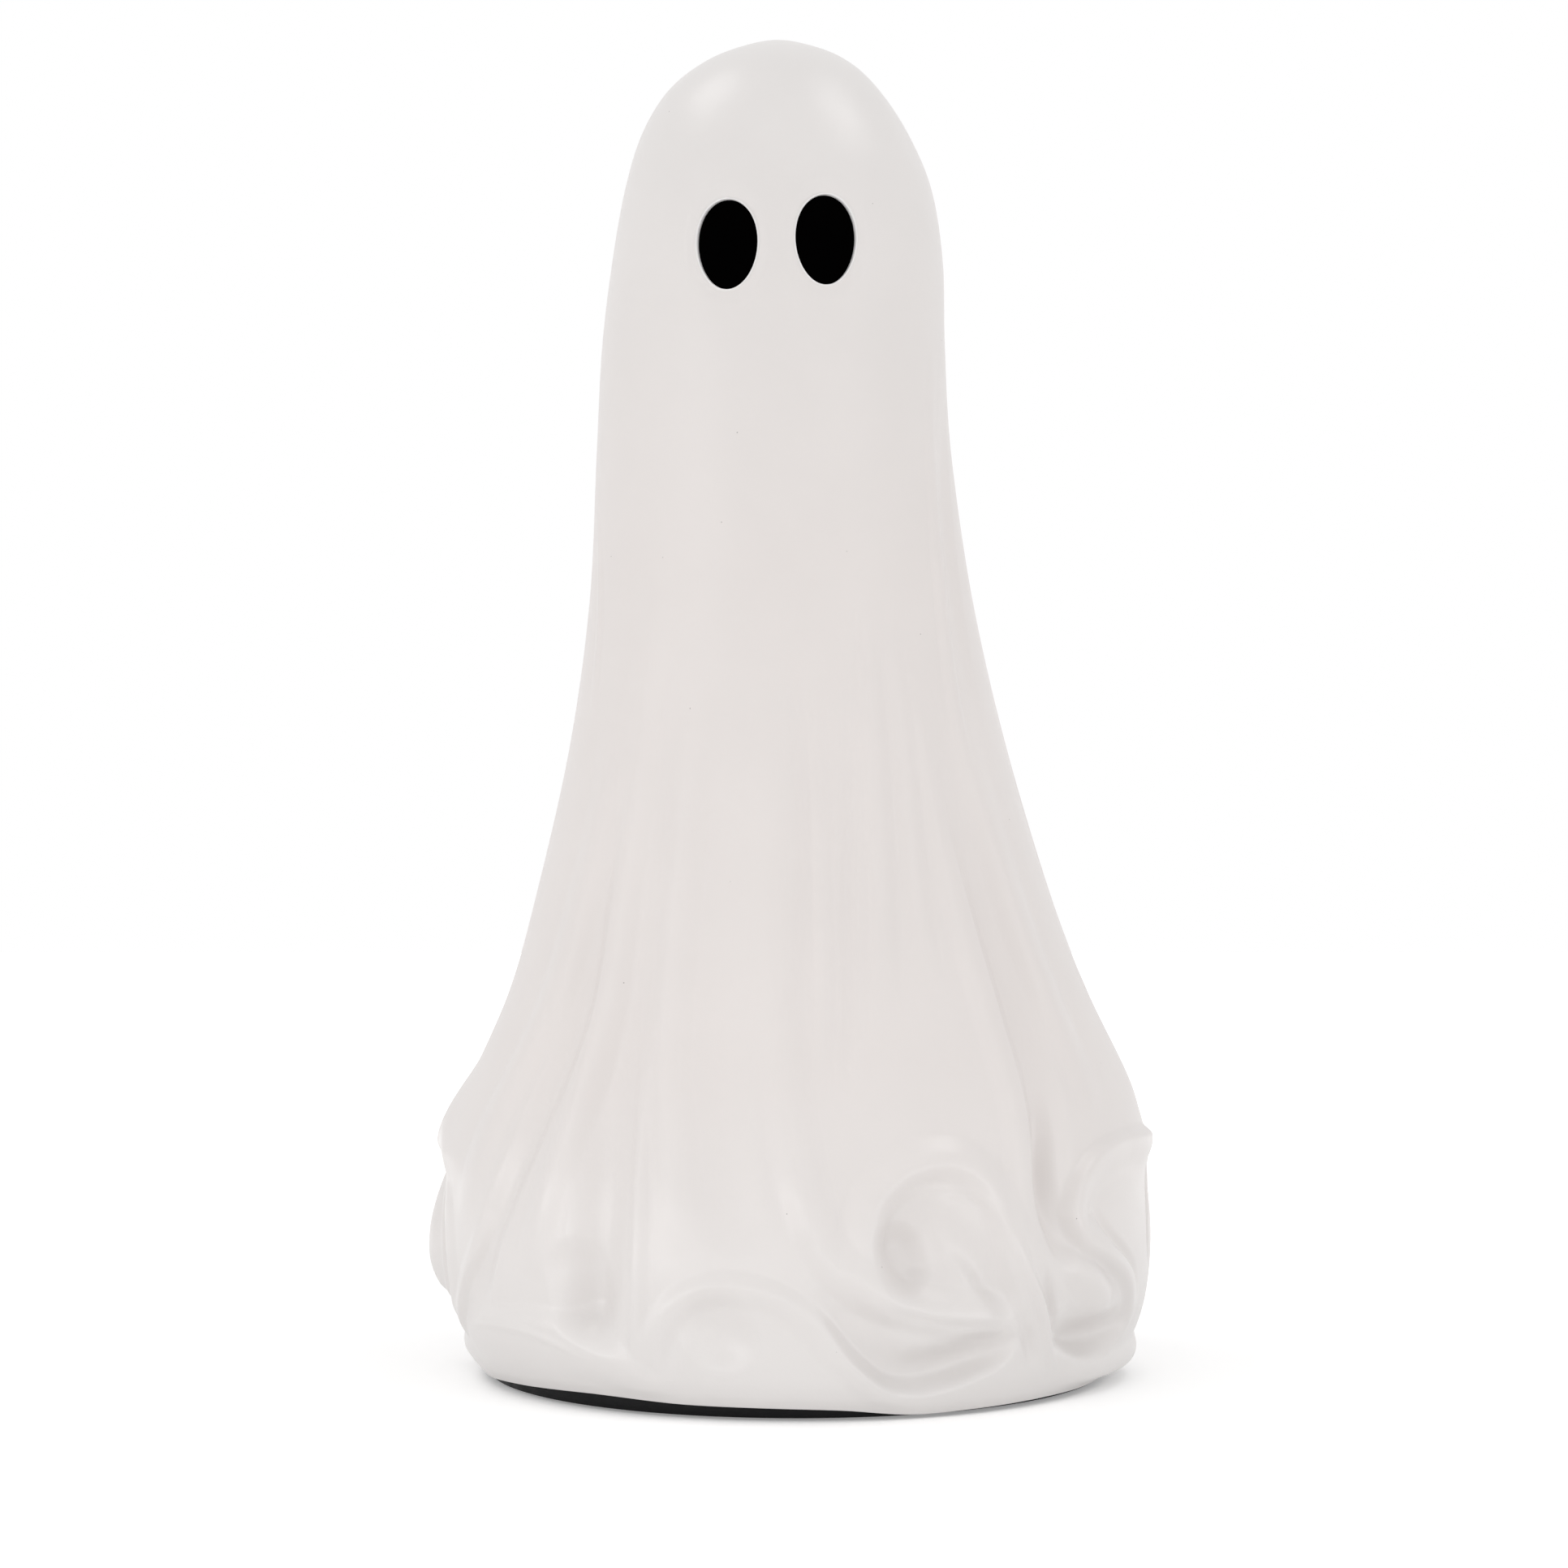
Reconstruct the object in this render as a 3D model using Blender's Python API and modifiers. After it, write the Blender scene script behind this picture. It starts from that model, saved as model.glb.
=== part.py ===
"""A standing ghost figure: a hollow moulded sheet with two eyes, on a black base with batteries and lights.

Metres, +Z up. The front of the figure faces -Y. The origin is on the floor under the middle of the figure.
Bearings on the sheet are in degrees from the front, positive towards +X.
"""

import math
from collections import namedtuple

import bpy
import numpy as np

MM = 0.001
TURN = 360.0

# Driving sizes of the sheet
FIGURE_HEIGHT = 0.5588
BODY_HALF_WIDTH = 0.0748
BODY_HALF_DEPTH = 0.0695
WALL = 0.0020

# Driving sizes of the base
BASE_RADIUS = 0.1285
BASE_SHIFT = 0.0035
BASE_HEIGHT = 0.0072
BASE_FLOOR = 0.0025
BASE_RIM = 0.0025
FOOT_PROUD = 0.0010
FOOT_RADIUS = 0.0070
FOOT_THICKNESS = 0.0018
FOOT_INSET = 0.0285
FOOT_BEARINGS = (45.0, 135.0, 225.0, 315.0)

# Gaps
GAP = 0.0003
HEM_GAP = 0.0010
MOVING_GAP = 0.0004

# Flange of the sheet and its screws
FLANGE_WIDTH = 0.0270
BASE_SCREW_INSET = 0.0115
BASE_SCREW_COUNT = 6
POST_RADIUS = 0.0046
SCREW_RADIUS = 0.0014
SCREW_HEAD_RADIUS = 0.0031
SCREW_HEAD_HEIGHT = 0.0020
SCREW_PROUD = 0.0025
SMALL_SCREW_RADIUS = 0.0011
SMALL_HEAD_RADIUS = 0.0022
SMALL_HEAD_HEIGHT = 0.0014
SCREW_GRIP = 0.0037
PILOT_DEPTH = 0.0040
CROSS_WIDTH = 0.0006

# Eyes
EYE_HALF_WIDTH = 0.0121
EYE_HALF_HEIGHT = 0.0181
EYE_EGG = 0.05
EYE_DEPTH = 0.0010
EYE_GAP = 0.0006
EYE_LIP = 0.0040
EYE_LIP_THICKNESS = 0.0015
# Middle of each eye: how far to the side it lies as seen from the front, and its height
EYE_PLACES = {"left": (-0.0242, FIGURE_HEIGHT - 0.0923), "right": (0.0158, FIGURE_HEIGHT - 0.0904)}
EYE_DENT = 0.0012
EYE_DENT_REACH = 0.42

# Batteries and their box
CELL_RADIUS = 0.00725
CELL_LENGTH = 0.0505
CELL_NUB_RADIUS = 0.0027
CELL_NUB_LENGTH = 0.0010
CELL_COUNT = 3
CELL_PITCH = 0.0155
SPRING_LENGTH = 0.0040
SPRING_WIRE = 0.0004
SPRING_WIDE = 0.0046
SPRING_NARROW = 0.0030
SPRING_TURNS = 3
CONTACT_THICKNESS = 0.0005
CONTACT_INSET = 0.0015
BOX_WALL = 0.0016
BOX_PLACE_Y = 0.0500
BOX_ROOM = 0.0004
EAR_LENGTH = 0.0066
EAR_THICKNESS = 0.0018
BOSS_HEIGHT = 0.0045
BOSS_RADIUS = 0.0028

# Battery door
DOOR_THICKNESS = 0.0022
DOOR_LEDGE = 0.0015
TONGUE_WIDTH = 0.0100
TONGUE_REACH = 0.0025
TONGUE_THICKNESS = 0.0012
TONGUE_OFFSET = 0.0180
LATCH_WIDTH = 0.0100
LATCH_THICKNESS = 0.0014
LATCH_HEIGHT = 0.0035

# Slide switch
SWITCH_PLACE = (0.0620, 0.0150)
SWITCH_HEIGHT = 0.0064
SWITCH_WALL = 0.0014
KNOB_LENGTH = 0.0034
KNOB_WIDTH = 0.0030
KNOB_SHOULDER = 0.0008
KNOB_SHOULDER_HEIGHT = 0.0014
KNOB_TRAVEL = 0.0040
KNOB_PROUD = 0.0006
KNOB_RISE = 0.0022

# Light board
BOARD_RADIUS = 0.0280
BOARD_THICKNESS = 0.0016
BOARD_PLACE_Y = -0.0250
BOARD_POST_HEIGHT = 0.0085
BOARD_SCREW_CIRCLE = 0.0225
LED_CIRCLE = 0.0120
LED_RADIUS = 0.0025
LED_HEIGHT = 0.0070
LED_RIM = 0.0004
LED_RIM_HEIGHT = 0.0010
LED_COUNT = 3

LEAD_RADIUS = 0.0008
LEAD_HEIGHT = 0.0065
LEAD_STRAIGHT = 0.0070
LEAD_SWING = 0.0080

# Heights that follow from the sizes above
BASE_BOTTOM = FOOT_PROUD
FLOOR_TOP = BASE_BOTTOM + BASE_FLOOR
BASE_TOP = BASE_BOTTOM + BASE_HEIGHT
FLANGE_BOTTOM = BASE_TOP + GAP
FLANGE_TOP = FLANGE_BOTTOM + WALL
FLANGE_RADIUS = BASE_RADIUS + HEM_GAP - FLANGE_WIDTH
BASE_SCREW_CIRCLE = FLANGE_RADIUS + BASE_SCREW_INSET
FOOT_CIRCLE = BASE_RADIUS - FOOT_INSET
HEAD_SEAT = BASE_BOTTOM + GAP + SCREW_HEAD_HEIGHT
BOSS_TOP = FLOOR_TOP + BOSS_HEIGHT
EAR_BOTTOM = BOSS_TOP + GAP
EAR_TOP = EAR_BOTTOM + EAR_THICKNESS
BOARD_BOTTOM = FLOOR_TOP + BOARD_POST_HEIGHT + GAP
BOARD_TOP = BOARD_BOTTOM + BOARD_THICKNESS

# The battery box and the door under it
BOX_BOTTOM = FLOOR_TOP + GAP
DOOR_TOP = BASE_BOTTOM + DOOR_THICKNESS
CELL_HEIGHT = DOOR_TOP + BOX_ROOM + CELL_RADIUS
BOX_CEILING = CELL_HEIGHT + CELL_RADIUS + BOX_ROOM
CONTACT_GAP = GAP + CONTACT_THICKNESS + GAP
BOX_HALF_LENGTH = (CELL_LENGTH + SPRING_LENGTH + GAP) / 2 + CONTACT_GAP
BOX_HALF_WIDTH = (CELL_COUNT - 1) / 2 * CELL_PITCH + CELL_RADIUS + BOX_ROOM
DOOR_HALF_LENGTH = BOX_HALF_LENGTH + DOOR_LEDGE
DOOR_HALF_WIDTH = BOX_HALF_WIDTH + DOOR_LEDGE
HINGE_Y = BOX_PLACE_Y - DOOR_HALF_WIDTH
LATCH_Y = BOX_PLACE_Y + DOOR_HALF_WIDTH - DOOR_LEDGE

# The slot that the switch knob slides in
SLOT_LENGTH = KNOB_LENGTH + KNOB_TRAVEL + 2 * MOVING_GAP
SLOT_WIDTH = KNOB_WIDTH + 2 * MOVING_GAP

# Sections of the head: height, half width and half depth as shares of the body's, and shift to the side
HEAD = (
    (0.5588, 0.000, 0.000, -0.0043),
    (0.5550, 0.240, 0.242, -0.0040),
    (0.5480, 0.434, 0.439, -0.0046),
    (0.5365, 0.602, 0.608, -0.0057),
    (0.5190, 0.748, 0.756, -0.0052),
    (0.4960, 0.859, 0.867, -0.0039),
    (0.4660, 0.926, 0.935, -0.0042),
    (0.4300, 0.961, 0.971, -0.0059),
    (0.3850, 0.995, 1.000, -0.0057),
)

# Sections of the skirt: height, how far out to the base's radius at the side and at the front, and shift
SKIRT = (
    (0.3240, 0.104, 0.093, -0.0027),
    (0.2630, 0.309, 0.263, -0.0001),
    (0.2010, 0.613, 0.517, 0.0022),
    (0.1600, 0.873, 0.737, 0.0045),
)

# Sections of the hem: height, how far the sheet stands out from the base at the side and front, and shift
HEM = (
    (0.1190, 0.0116, 0.0000, 0.0053),
    (0.0900, 0.0180, 0.0080, BASE_SHIFT),
    (0.0600, 0.0205, 0.0115, BASE_SHIFT),
    (0.0350, 0.0185, 0.0105, BASE_SHIFT),
    (0.0170, 0.0130, 0.0080, BASE_SHIFT),
    (0.0080, 0.0075, 0.0055, BASE_SHIFT),
)
HEM_EDGE = 0.0030
HEM_FADE = 0.0240

# How far the hem's edge stands over or under HEM_EDGE, by bearing
EDGE_WAVE = (
    (-180, 0.0010),
    (-150, -0.0008),
    (-115, 0.0022),
    (-80, 0.0002),
    (-60, 0.0022),
    (-38, 0.0042),
    (-20, 0.0032),
    (-5, 0.0028),
    (8, 0.0018),
    (20, -0.0008),
    (32, -0.0006),
    (50, 0.0000),
    (66, 0.0002),
    (90, 0.0018),
    (130, -0.0008),
    (158, 0.0020),
)

# A fold lifts the sheet along a path: name, reach in mm to the left and right of the path's direction,
# and the path's points as bearing, height in mm and lift in mm
Fold = namedtuple("Fold", "name left right path")

BODY_FOLDS = (
    Fold(
        "left broad ridge",
        13,
        16,
        ((-50, 310, 0), (-50, 240, 1.2), (-53, 188, 2), (-58, 128, 2.4), (-65, 84, 1), (-68, 70, 0)),
    ),
    Fold(
        "left valley",
        10,
        12,
        (
            (-46, 270, 0),
            (-46, 205, -1),
            (-46, 150, -1.8),
            (-48.5, 110, -2.4),
            (-52, 86, -2.4),
            (-56, 66, -2),
            (-58.6, 50, -2),
            (-60, 38, 0),
        ),
    ),
    Fold(
        "left narrow ridge",
        11,
        12,
        (
            (-37, 360, 0),
            (-41, 294, 0.9),
            (-40, 230, 1.4),
            (-39, 150, 2),
            (-41, 98, 2.4),
            (-43.5, 72, 1.4),
            (-45.5, 52, 0),
        ),
    ),
    Fold(
        "left deep valley",
        13,
        18,
        (
            (-37, 270, 0),
            (-35.6, 210, -0.8),
            (-34.2, 147, -2),
            (-31.8, 100, -2.8),
            (-31.8, 72, -3.4),
            (-32.6, 50, -4),
            (-33.4, 38, -3),
            (-35, 27, 0),
        ),
    ),
    Fold(
        "left thin ridge",
        6,
        4,
        (
            (-31, 172, 0),
            (-27.6, 130, 0.5),
            (-25.2, 90, 0.8),
            (-25, 60, 0.9),
            (-25.6, 36, 0.9),
            (-27, 14, 0),
        ),
    ),
    Fold(
        "left front ridge",
        12,
        10,
        ((-25, 300, 0), (-26, 220, 1), (-25, 150, 1.3), (-20, 100, 1.2), (-18, 66, 0)),
    ),
    Fold(
        "front valley",
        16,
        16,
        ((-15, 290, 0), (-16, 220, -0.7), (-15, 150, -1.2), (-11, 90, -1.5), (-9, 66, 0)),
    ),
    Fold(
        "middle ridge",
        6,
        13,
        (
            (-2, 320, 0),
            (-2.5, 240, 1.1),
            (-3.8, 170, 1.5),
            (-1.8, 125, 2),
            (0.6, 98, 2.2),
            (2.6, 82, 1),
            (4, 72, 0),
        ),
    ),
    Fold("middle valley", 6, 6, ((4, 300, 0), (4, 240, -0.6), (2, 185, -0.6), (0, 155, 0))),
    Fold("middle small ridge", 5, 5, ((8, 300, 0), (7, 225, 0.6), (5, 165, 0.8), (3, 125, 0))),
    Fold(
        "right crease",
        4,
        4,
        ((18, 300, 0), (14.5, 240, -0.7), (12, 206, -1), (9.2, 155, -0.8), (8, 128, 0)),
    ),
    Fold("right front ridge", 9, 6, ((26, 335, 0), (22, 268, 1), (18.5, 200, 1.2), (14, 140, 0))),
    Fold("right front small ridge", 7, 7, ((31, 320, 0), (31, 270, 0.6), (28, 210, 0.7), (27, 170, 0))),
    Fold("right front valley", 5, 5, ((34, 285, 0), (34, 240, -0.4), (33, 185, 0))),
    Fold(
        "right line",
        10,
        9,
        (
            (36, 300, 0),
            (36, 240, 0.9),
            (37.6, 190, 1),
            (37.2, 110, 1.2),
            (37.6, 80, 1.3),
            (40, 62, 1.4),
            (44.4, 42, 0),
        ),
    ),
    Fold(
        "right deep valley",
        16,
        10,
        ((42.5, 290, 0), (45, 230, -1.4), (45.6, 175, -3), (44, 125, -2.6), (43.4, 95, -2), (44, 70, 0)),
    ),
    Fold(
        "right deep hollow",
        9,
        9,
        (
            (43.2, 134, 0),
            (42.8, 112, -3),
            (42.8, 96, -5.6),
            (43, 82, -5.6),
            (44.6, 70, -3),
            (48, 62, -1),
            (53, 56, 0),
        ),
    ),
    Fold(
        "right broad ridge",
        17,
        11,
        ((50, 300, 0), (54, 220, 1.8), (55.5, 165, 2.4), (56, 128, 1.2), (58, 114, 0)),
    ),
    Fold(
        "right side line",
        6,
        6,
        ((67, 430, 0), (60, 380, 0.7), (56, 337, 1.1), (52, 290, 1), (50, 245, 0)),
    ),
    Fold("right side valley", 9, 9, ((80, 420, 0), (68, 371, -1), (63, 320, -1), (61, 268, 0))),
    Fold("left side line", 5, 5, ((-77, 365, 0), (-68, 320, 0.8), (-64, 270, 0))),
)

HEM_FOLDS = (
    Fold(
        "ring curl",
        8,
        14,
        (
            (40.5, 30, 0),
            (38.5, 42, 1.4),
            (36, 56, 2.2),
            (33.2, 77, 3),
            (30, 92, 3.2),
            (24.5, 98, 3.2),
            (18, 95, 3.2),
            (13.2, 87, 3.4),
            (11.2, 74, 3.6),
            (12, 61, 3),
            (14.5, 52, 2),
            (19, 46, 0),
        ),
    ),
    Fold(
        "ring curl line",
        2.5,
        2.5,
        (
            (35, 60, 0),
            (31, 82, 0.3),
            (25, 91, 0.35),
            (17.5, 89, 0.35),
            (13.4, 78, 0.35),
            (13, 63, 0.3),
            (16, 52, 0),
        ),
    ),
    Fold("ring curl bowl", 15, 15, ((19.5, 66, -2), (21, 63, -2))),
    Fold("ring curl hollow", 14, 14, ((16, 66, -6), (18, 60, -6))),
    Fold(
        "ring curl valley",
        11,
        9,
        ((24, 84, 0), (26.2, 72, -1.2), (29.2, 59, -2.4), (33, 45, -2), (36, 33, 0)),
    ),
    Fold(
        "ring curl band",
        12,
        10,
        (
            (-1, 108, 0),
            (1.4, 86, 1.2),
            (3, 73, 2),
            (6.6, 59, 2.8),
            (11.2, 50, 3.2),
            (17, 44.5, 3),
            (23, 41.5, 2.8),
            (31, 39, 2),
            (38, 38, 0),
        ),
    ),
    Fold(
        "band crease",
        2.5,
        2.5,
        ((12, 47, 0), (17, 42.5, -0.4), (23, 38.5, -0.6), (29, 36.8, -0.6), (34.5, 36, 0)),
    ),
    Fold(
        "band pocket",
        17,
        5.5,
        (
            (3.6, 55, 0),
            (6, 42, -1.6),
            (9.6, 29, -3),
            (15, 18, -5.6),
            (20, 15.5, -7.6),
            (25, 17, -8.4),
            (29.5, 20, -7.6),
            (33.5, 24, -4.8),
            (36.5, 33, 0),
        ),
    ),
    Fold(
        "front arch",
        8,
        12,
        (
            (-25, 12, 0),
            (-22.8, 32, 0.5),
            (-18, 48, 0.9),
            (-11, 54, 1.1),
            (-4, 51, 1.1),
            (1, 43, 1.1),
            (6, 30, 1.2),
            (11, 16, 1.2),
            (16, 6, 0.8),
            (24, 2, 0),
        ),
    ),
    Fold("left hollow", 16, 16, ((-37, 58, -2), (-34.8, 50, -3.6), (-33.8, 41, -3.6))),
    Fold("front arch bowl", 17, 17, ((-12.5, 38, -2.6), (-11.5, 34, -2.6))),
    Fold("front arch groove", 5, 5, ((-17, 42, 0), (-19.6, 30, -0.6), (-21.6, 14, 0))),
    Fold(
        "left arch",
        10,
        22,
        (
            (-76, 20, 0),
            (-61, 27, 1.2),
            (-46, 33, 1.4),
            (-37, 30, 1.4),
            (-30.5, 23, 1.4),
            (-26, 13, 1),
            (-22, 5, 0),
        ),
    ),
    Fold(
        "left arch line",
        2.5,
        2.5,
        ((-66, 27, 0), (-58, 31, 0.5), (-48, 31, 0.5), (-40, 27, 0.4), (-34, 21, 0)),
    ),
    Fold(
        "left lobe edge",
        4,
        9,
        ((-56.4, 76, 0), (-60.4, 59, 1.2), (-65, 45, 2), (-69, 31, 2), (-72, 20, 0)),
    ),
    Fold(
        "left side crest",
        38,
        12,
        ((-122, 99, 0), (-104, 98, 4), (-90, 96.5, 6.4), (-80, 95, 3.4), (-68, 94, 0)),
    ),
    Fold(
        "left lobe step",
        12,
        4,
        ((-84, 92, 0), (-79, 80, 1), (-74.5, 66, 1.4), (-73, 50, 1.4), (-73.5, 36, 1), (-75, 24, 0)),
    ),
    Fold(
        "left rear valley",
        22,
        12,
        (
            (-92, 94, 0),
            (-88, 84, -4),
            (-84, 70, -8),
            (-83, 56, -10),
            (-83, 42, -9),
            (-84, 30, -4),
            (-86, 20, 0),
        ),
    ),
    Fold(
        "left rear lobe",
        18,
        20,
        (
            (-108, 100, 0),
            (-104, 86, 3),
            (-100, 68, 7),
            (-98, 54, 8.6),
            (-98, 42, 8),
            (-101, 31, 3),
            (-104, 24, 0),
        ),
    ),
    Fold(
        "left rear tuck",
        10,
        14,
        ((-66, 19, 0), (-80, 21, -3), (-94, 22, -5), (-108, 21, -4), (-122, 20, 0)),
    ),
    Fold("right bulge", 11, 11, ((49, 56, 1.8), (53, 49, 2.2), (56.5, 41, 2))),
    Fold(
        "right hollow",
        16,
        6,
        ((44, 34, 0), (48, 27, -5), (54, 22, -10), (61, 21.5, -10), (66, 26, -5.6), (69, 34, 0)),
    ),
    Fold(
        "right curl",
        14,
        5,
        (
            (112, 94, 0),
            (100, 98, 2.4),
            (88, 100, 3.2),
            (68, 103, 2.8),
            (57, 100, 3),
            (50.4, 91, 3.2),
            (47.6, 78, 3.4),
            (49.6, 67, 3.4),
            (55, 60, 3.4),
            (61.5, 52, 3),
            (66, 42, 2.4),
            (71, 26, 0),
        ),
    ),
    Fold(
        "right corner",
        22,
        16,
        ((114, 97, 0), (98, 98, 0.8), (86, 98, 1.2), (76, 99, 0.8), (68, 100, 0)),
    ),
    Fold("right low bulge", 9, 9, ((48, 9, 0), (66, 10, 3.4), (88, 10, 5), (108, 10, 0))),
    Fold(
        "right curl crease",
        6,
        3,
        ((54, 80, 0), (55, 73, -0.8), (57.6, 65.5, -2), (62.5, 58, -2.6), (67, 50, -2), (71, 38, 0)),
    ),
    Fold(
        "right rim valley",
        6,
        4,
        ((90, 96, 0), (82, 88, -2), (79, 74, -2.6), (78, 60, -2), (80, 46, 0)),
    ),
    Fold(
        "right leg ridge",
        4,
        4,
        ((34.5, 74, 0), (37, 58, 1.2), (40.5, 42, 1.8), (44.5, 24, 1), (47, 14, 0)),
    ),
    Fold("right leg valley", 4, 4, ((40.6, 60, 0), (42.6, 44, -1.6), (45, 30, -1), (47, 20, 0))),
    Fold("right low valley", 5, 5, ((36, 40, 0), (39.5, 28, -1.6), (42, 16, 0))),
)

BACK_FOLDS = (
    Fold(
        "rear ridge 1",
        10,
        10,
        ((92, 330, 0), (96, 250, 1.4), (101, 170, 2.8), (106, 110, 3), (110, 70, 0)),
    ),
    Fold(
        "rear valley 1",
        9,
        9,
        ((108, 310, 0), (112, 230, -1.6), (116, 150, -3), (120, 90, -3.4), (124, 50, 0)),
    ),
    Fold(
        "rear ridge 2",
        11,
        11,
        ((124, 340, 0), (128, 250, 1.4), (132, 170, 2.6), (137, 110, 2.6), (140, 75, 0)),
    ),
    Fold("rear valley 2", 8, 8, ((142, 300, 0), (146, 220, -1.4), (149, 140, -2.8), (151, 90, 0))),
    Fold("rear ridge 3", 9, 9, ((158, 330, 0), (162, 240, 1.3), (165, 160, 2.2), (168, 100, 0))),
    Fold("rear valley 3", 10, 10, ((178, 290, 0), (180, 210, -1.4), (181, 130, -2.6), (183, 85, 0))),
    Fold("rear ridge 4", 12, 9, ((198, 330, 0), (199, 240, 1.5), (198, 160, 2.6), (196, 105, 0))),
    Fold(
        "rear valley 4",
        8,
        8,
        ((213, 300, 0), (214, 220, -1.5), (216, 140, -3), (219, 90, -3), (222, 55, 0)),
    ),
    Fold(
        "rear ridge 5",
        9,
        12,
        ((228, 340, 0), (230, 250, 1.4), (234, 165, 2.6), (239, 105, 2.4), (243, 72, 0)),
    ),
    Fold("rear valley 5", 8, 8, ((248, 310, 0), (250, 220, -1.4), (254, 140, -2.6), (257, 95, 0))),
    Fold(
        "rear arch 1",
        8,
        9,
        (
            (112, 14, 0),
            (117, 40, 4),
            (126, 58, 5),
            (138, 60, 5),
            (147, 46, 4.5),
            (153, 24, 3.5),
            (157, 8, 0),
        ),
    ),
    Fold("rear arch 1 hollow", 13, 13, ((130, 48, 0), (133, 32, -4), (136, 16, 0))),
    Fold(
        "rear curl",
        8,
        9,
        (
            (205, 22, 0),
            (201, 46, 4),
            (196, 72, 5.5),
            (188, 86, 5),
            (178, 84, 5),
            (171, 70, 5.5),
            (171, 54, 5),
            (177, 44, 3),
            (182, 40, 0),
        ),
    ),
    Fold("rear curl hollow", 12, 12, ((184, 74, 0), (184, 58, -5), (189, 44, 0))),
    Fold("rear skirt band", 8, 10, ((160, 36, 0), (172, 24, 3.5), (188, 22, 4), (202, 12, 0))),
    Fold(
        "rear arch 2",
        8,
        8,
        (
            (211, 10, 0),
            (217, 32, 4),
            (226, 52, 5),
            (237, 56, 5),
            (246, 42, 4.5),
            (251, 24, 3),
            (255, 9, 0),
        ),
    ),
    Fold("rear arch 2 hollow", 12, 12, ((230, 44, 0), (233, 28, -4), (236, 12, 0))),
)

FOLDS = BODY_FOLDS + HEM_FOLDS + BACK_FOLDS

# Steps of the sheet's first mesh, before it is thinned to the triangles the shape needs
SHEET_COLUMNS = 288
ROW_STEP = 0.0026
PROFILE_STEPS = 40
PATH_STEPS = 8
SHEET_TRIANGLES = 7400

ROUND_STEPS = 24
SMALL_ROUND_STEPS = 12
DISC_STEPS = 72
SPRING_STEPS = 8


def clear_scene():
    for thing in list(bpy.data.objects):
        bpy.data.objects.remove(thing, do_unlink=True)


def new_collection(name):
    collection = bpy.data.collections.new(name)
    bpy.context.scene.collection.children.link(collection)
    return collection


def material(name, colour, roughness, metallic=0.0):
    made = bpy.data.materials.new(name)
    made.use_nodes = True
    shader = made.node_tree.nodes["Principled BSDF"]
    shader.inputs["Base Color"].default_value = (*colour, 1.0)
    shader.inputs["Roughness"].default_value = roughness
    shader.inputs["Metallic"].default_value = metallic
    made.diffuse_color = (*colour, 1.0)
    return made


def smooth_step(value):
    value = np.clip(value, 0.0, 1.0)
    return value * value * (3.0 - 2.0 * value)


def through(points, steps, first=None):
    """A smooth curve through the points, with this many steps to each; first is the point before them."""
    points = [np.array(point, float) for point in points]
    before = np.array(first, float) if first is not None else 2 * points[0] - points[1]
    points = [before, *points, 2 * points[-1] - points[-2]]
    curve = []
    for a, b, c, d in zip(points, points[1:], points[2:], points[3:]):
        for step in range(steps):
            t = step / steps
            bend = 2 * a - 5 * b + 4 * c - d
            twist = 3 * b - a - 3 * c + d
            curve.append(0.5 * (2 * b + (c - a) * t + bend * t**2 + twist * t**3))
    curve.append(points[-2])
    return np.array(curve)


def sheet_profile():
    """Rows of height, half width, half depth and shift, from the top of the head to the edge of the hem."""
    top = HEAD[0][0]
    scale = FIGURE_HEIGHT / top
    rows = []
    for height, width, depth, shift in HEAD:
        rows.append((height * scale, width * BODY_HALF_WIDTH, depth * BODY_HALF_DEPTH, shift))
    for height, wide, deep, shift in SKIRT:
        half_width = BODY_HALF_WIDTH + wide * (BASE_RADIUS - BODY_HALF_WIDTH)
        half_depth = BODY_HALF_DEPTH + deep * (BASE_RADIUS - BODY_HALF_DEPTH)
        rows.append((height * scale, half_width, half_depth, shift))
    for height, side, front, shift in HEM:
        rows.append((height, BASE_RADIUS + side, BASE_RADIUS + front, shift))
    edge = BASE_RADIUS + HEM_GAP + WALL
    rows.append((HEM_EDGE, edge, edge, BASE_SHIFT))
    mirrored = (rows[1][0], -rows[1][1], -rows[1][2], rows[1][3])
    return through(rows, PROFILE_STEPS, first=mirrored)


PROFILE = sheet_profile()


def section_at(height):
    """Half width, half depth and shift of the plain sheet."""
    return [np.interp(height, PROFILE[::-1, 0], PROFILE[::-1, column]) for column in (1, 2, 3)]


def loft(bearing, height):
    """Points of the plain sheet, without its folds."""
    half_width, half_depth, shift = section_at(height)
    angle = np.radians(bearing)
    x = shift + half_width * np.sin(angle)
    return np.stack([x, -half_depth * np.cos(angle), height + 0 * angle], -1)


def outward(bearing, height):
    """Unit vectors square to the plain sheet, pointing out."""
    turn = 0.5
    rise = 0.5 * MM
    low = np.maximum(height - rise, HEM_EDGE)
    high = np.minimum(height + rise, FIGURE_HEIGHT)
    across = loft(bearing + turn, height) - loft(bearing - turn, height)
    along = loft(bearing, high) - loft(bearing, low)
    square = np.cross(across, along)
    return square / np.maximum(np.linalg.norm(square, axis=-1, keepdims=True), 1e-12)


def turn_from(bearing, middle):
    """The turn from one bearing to others, the short way round."""
    return (bearing - middle + TURN / 2) % TURN - TURN / 2


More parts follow.
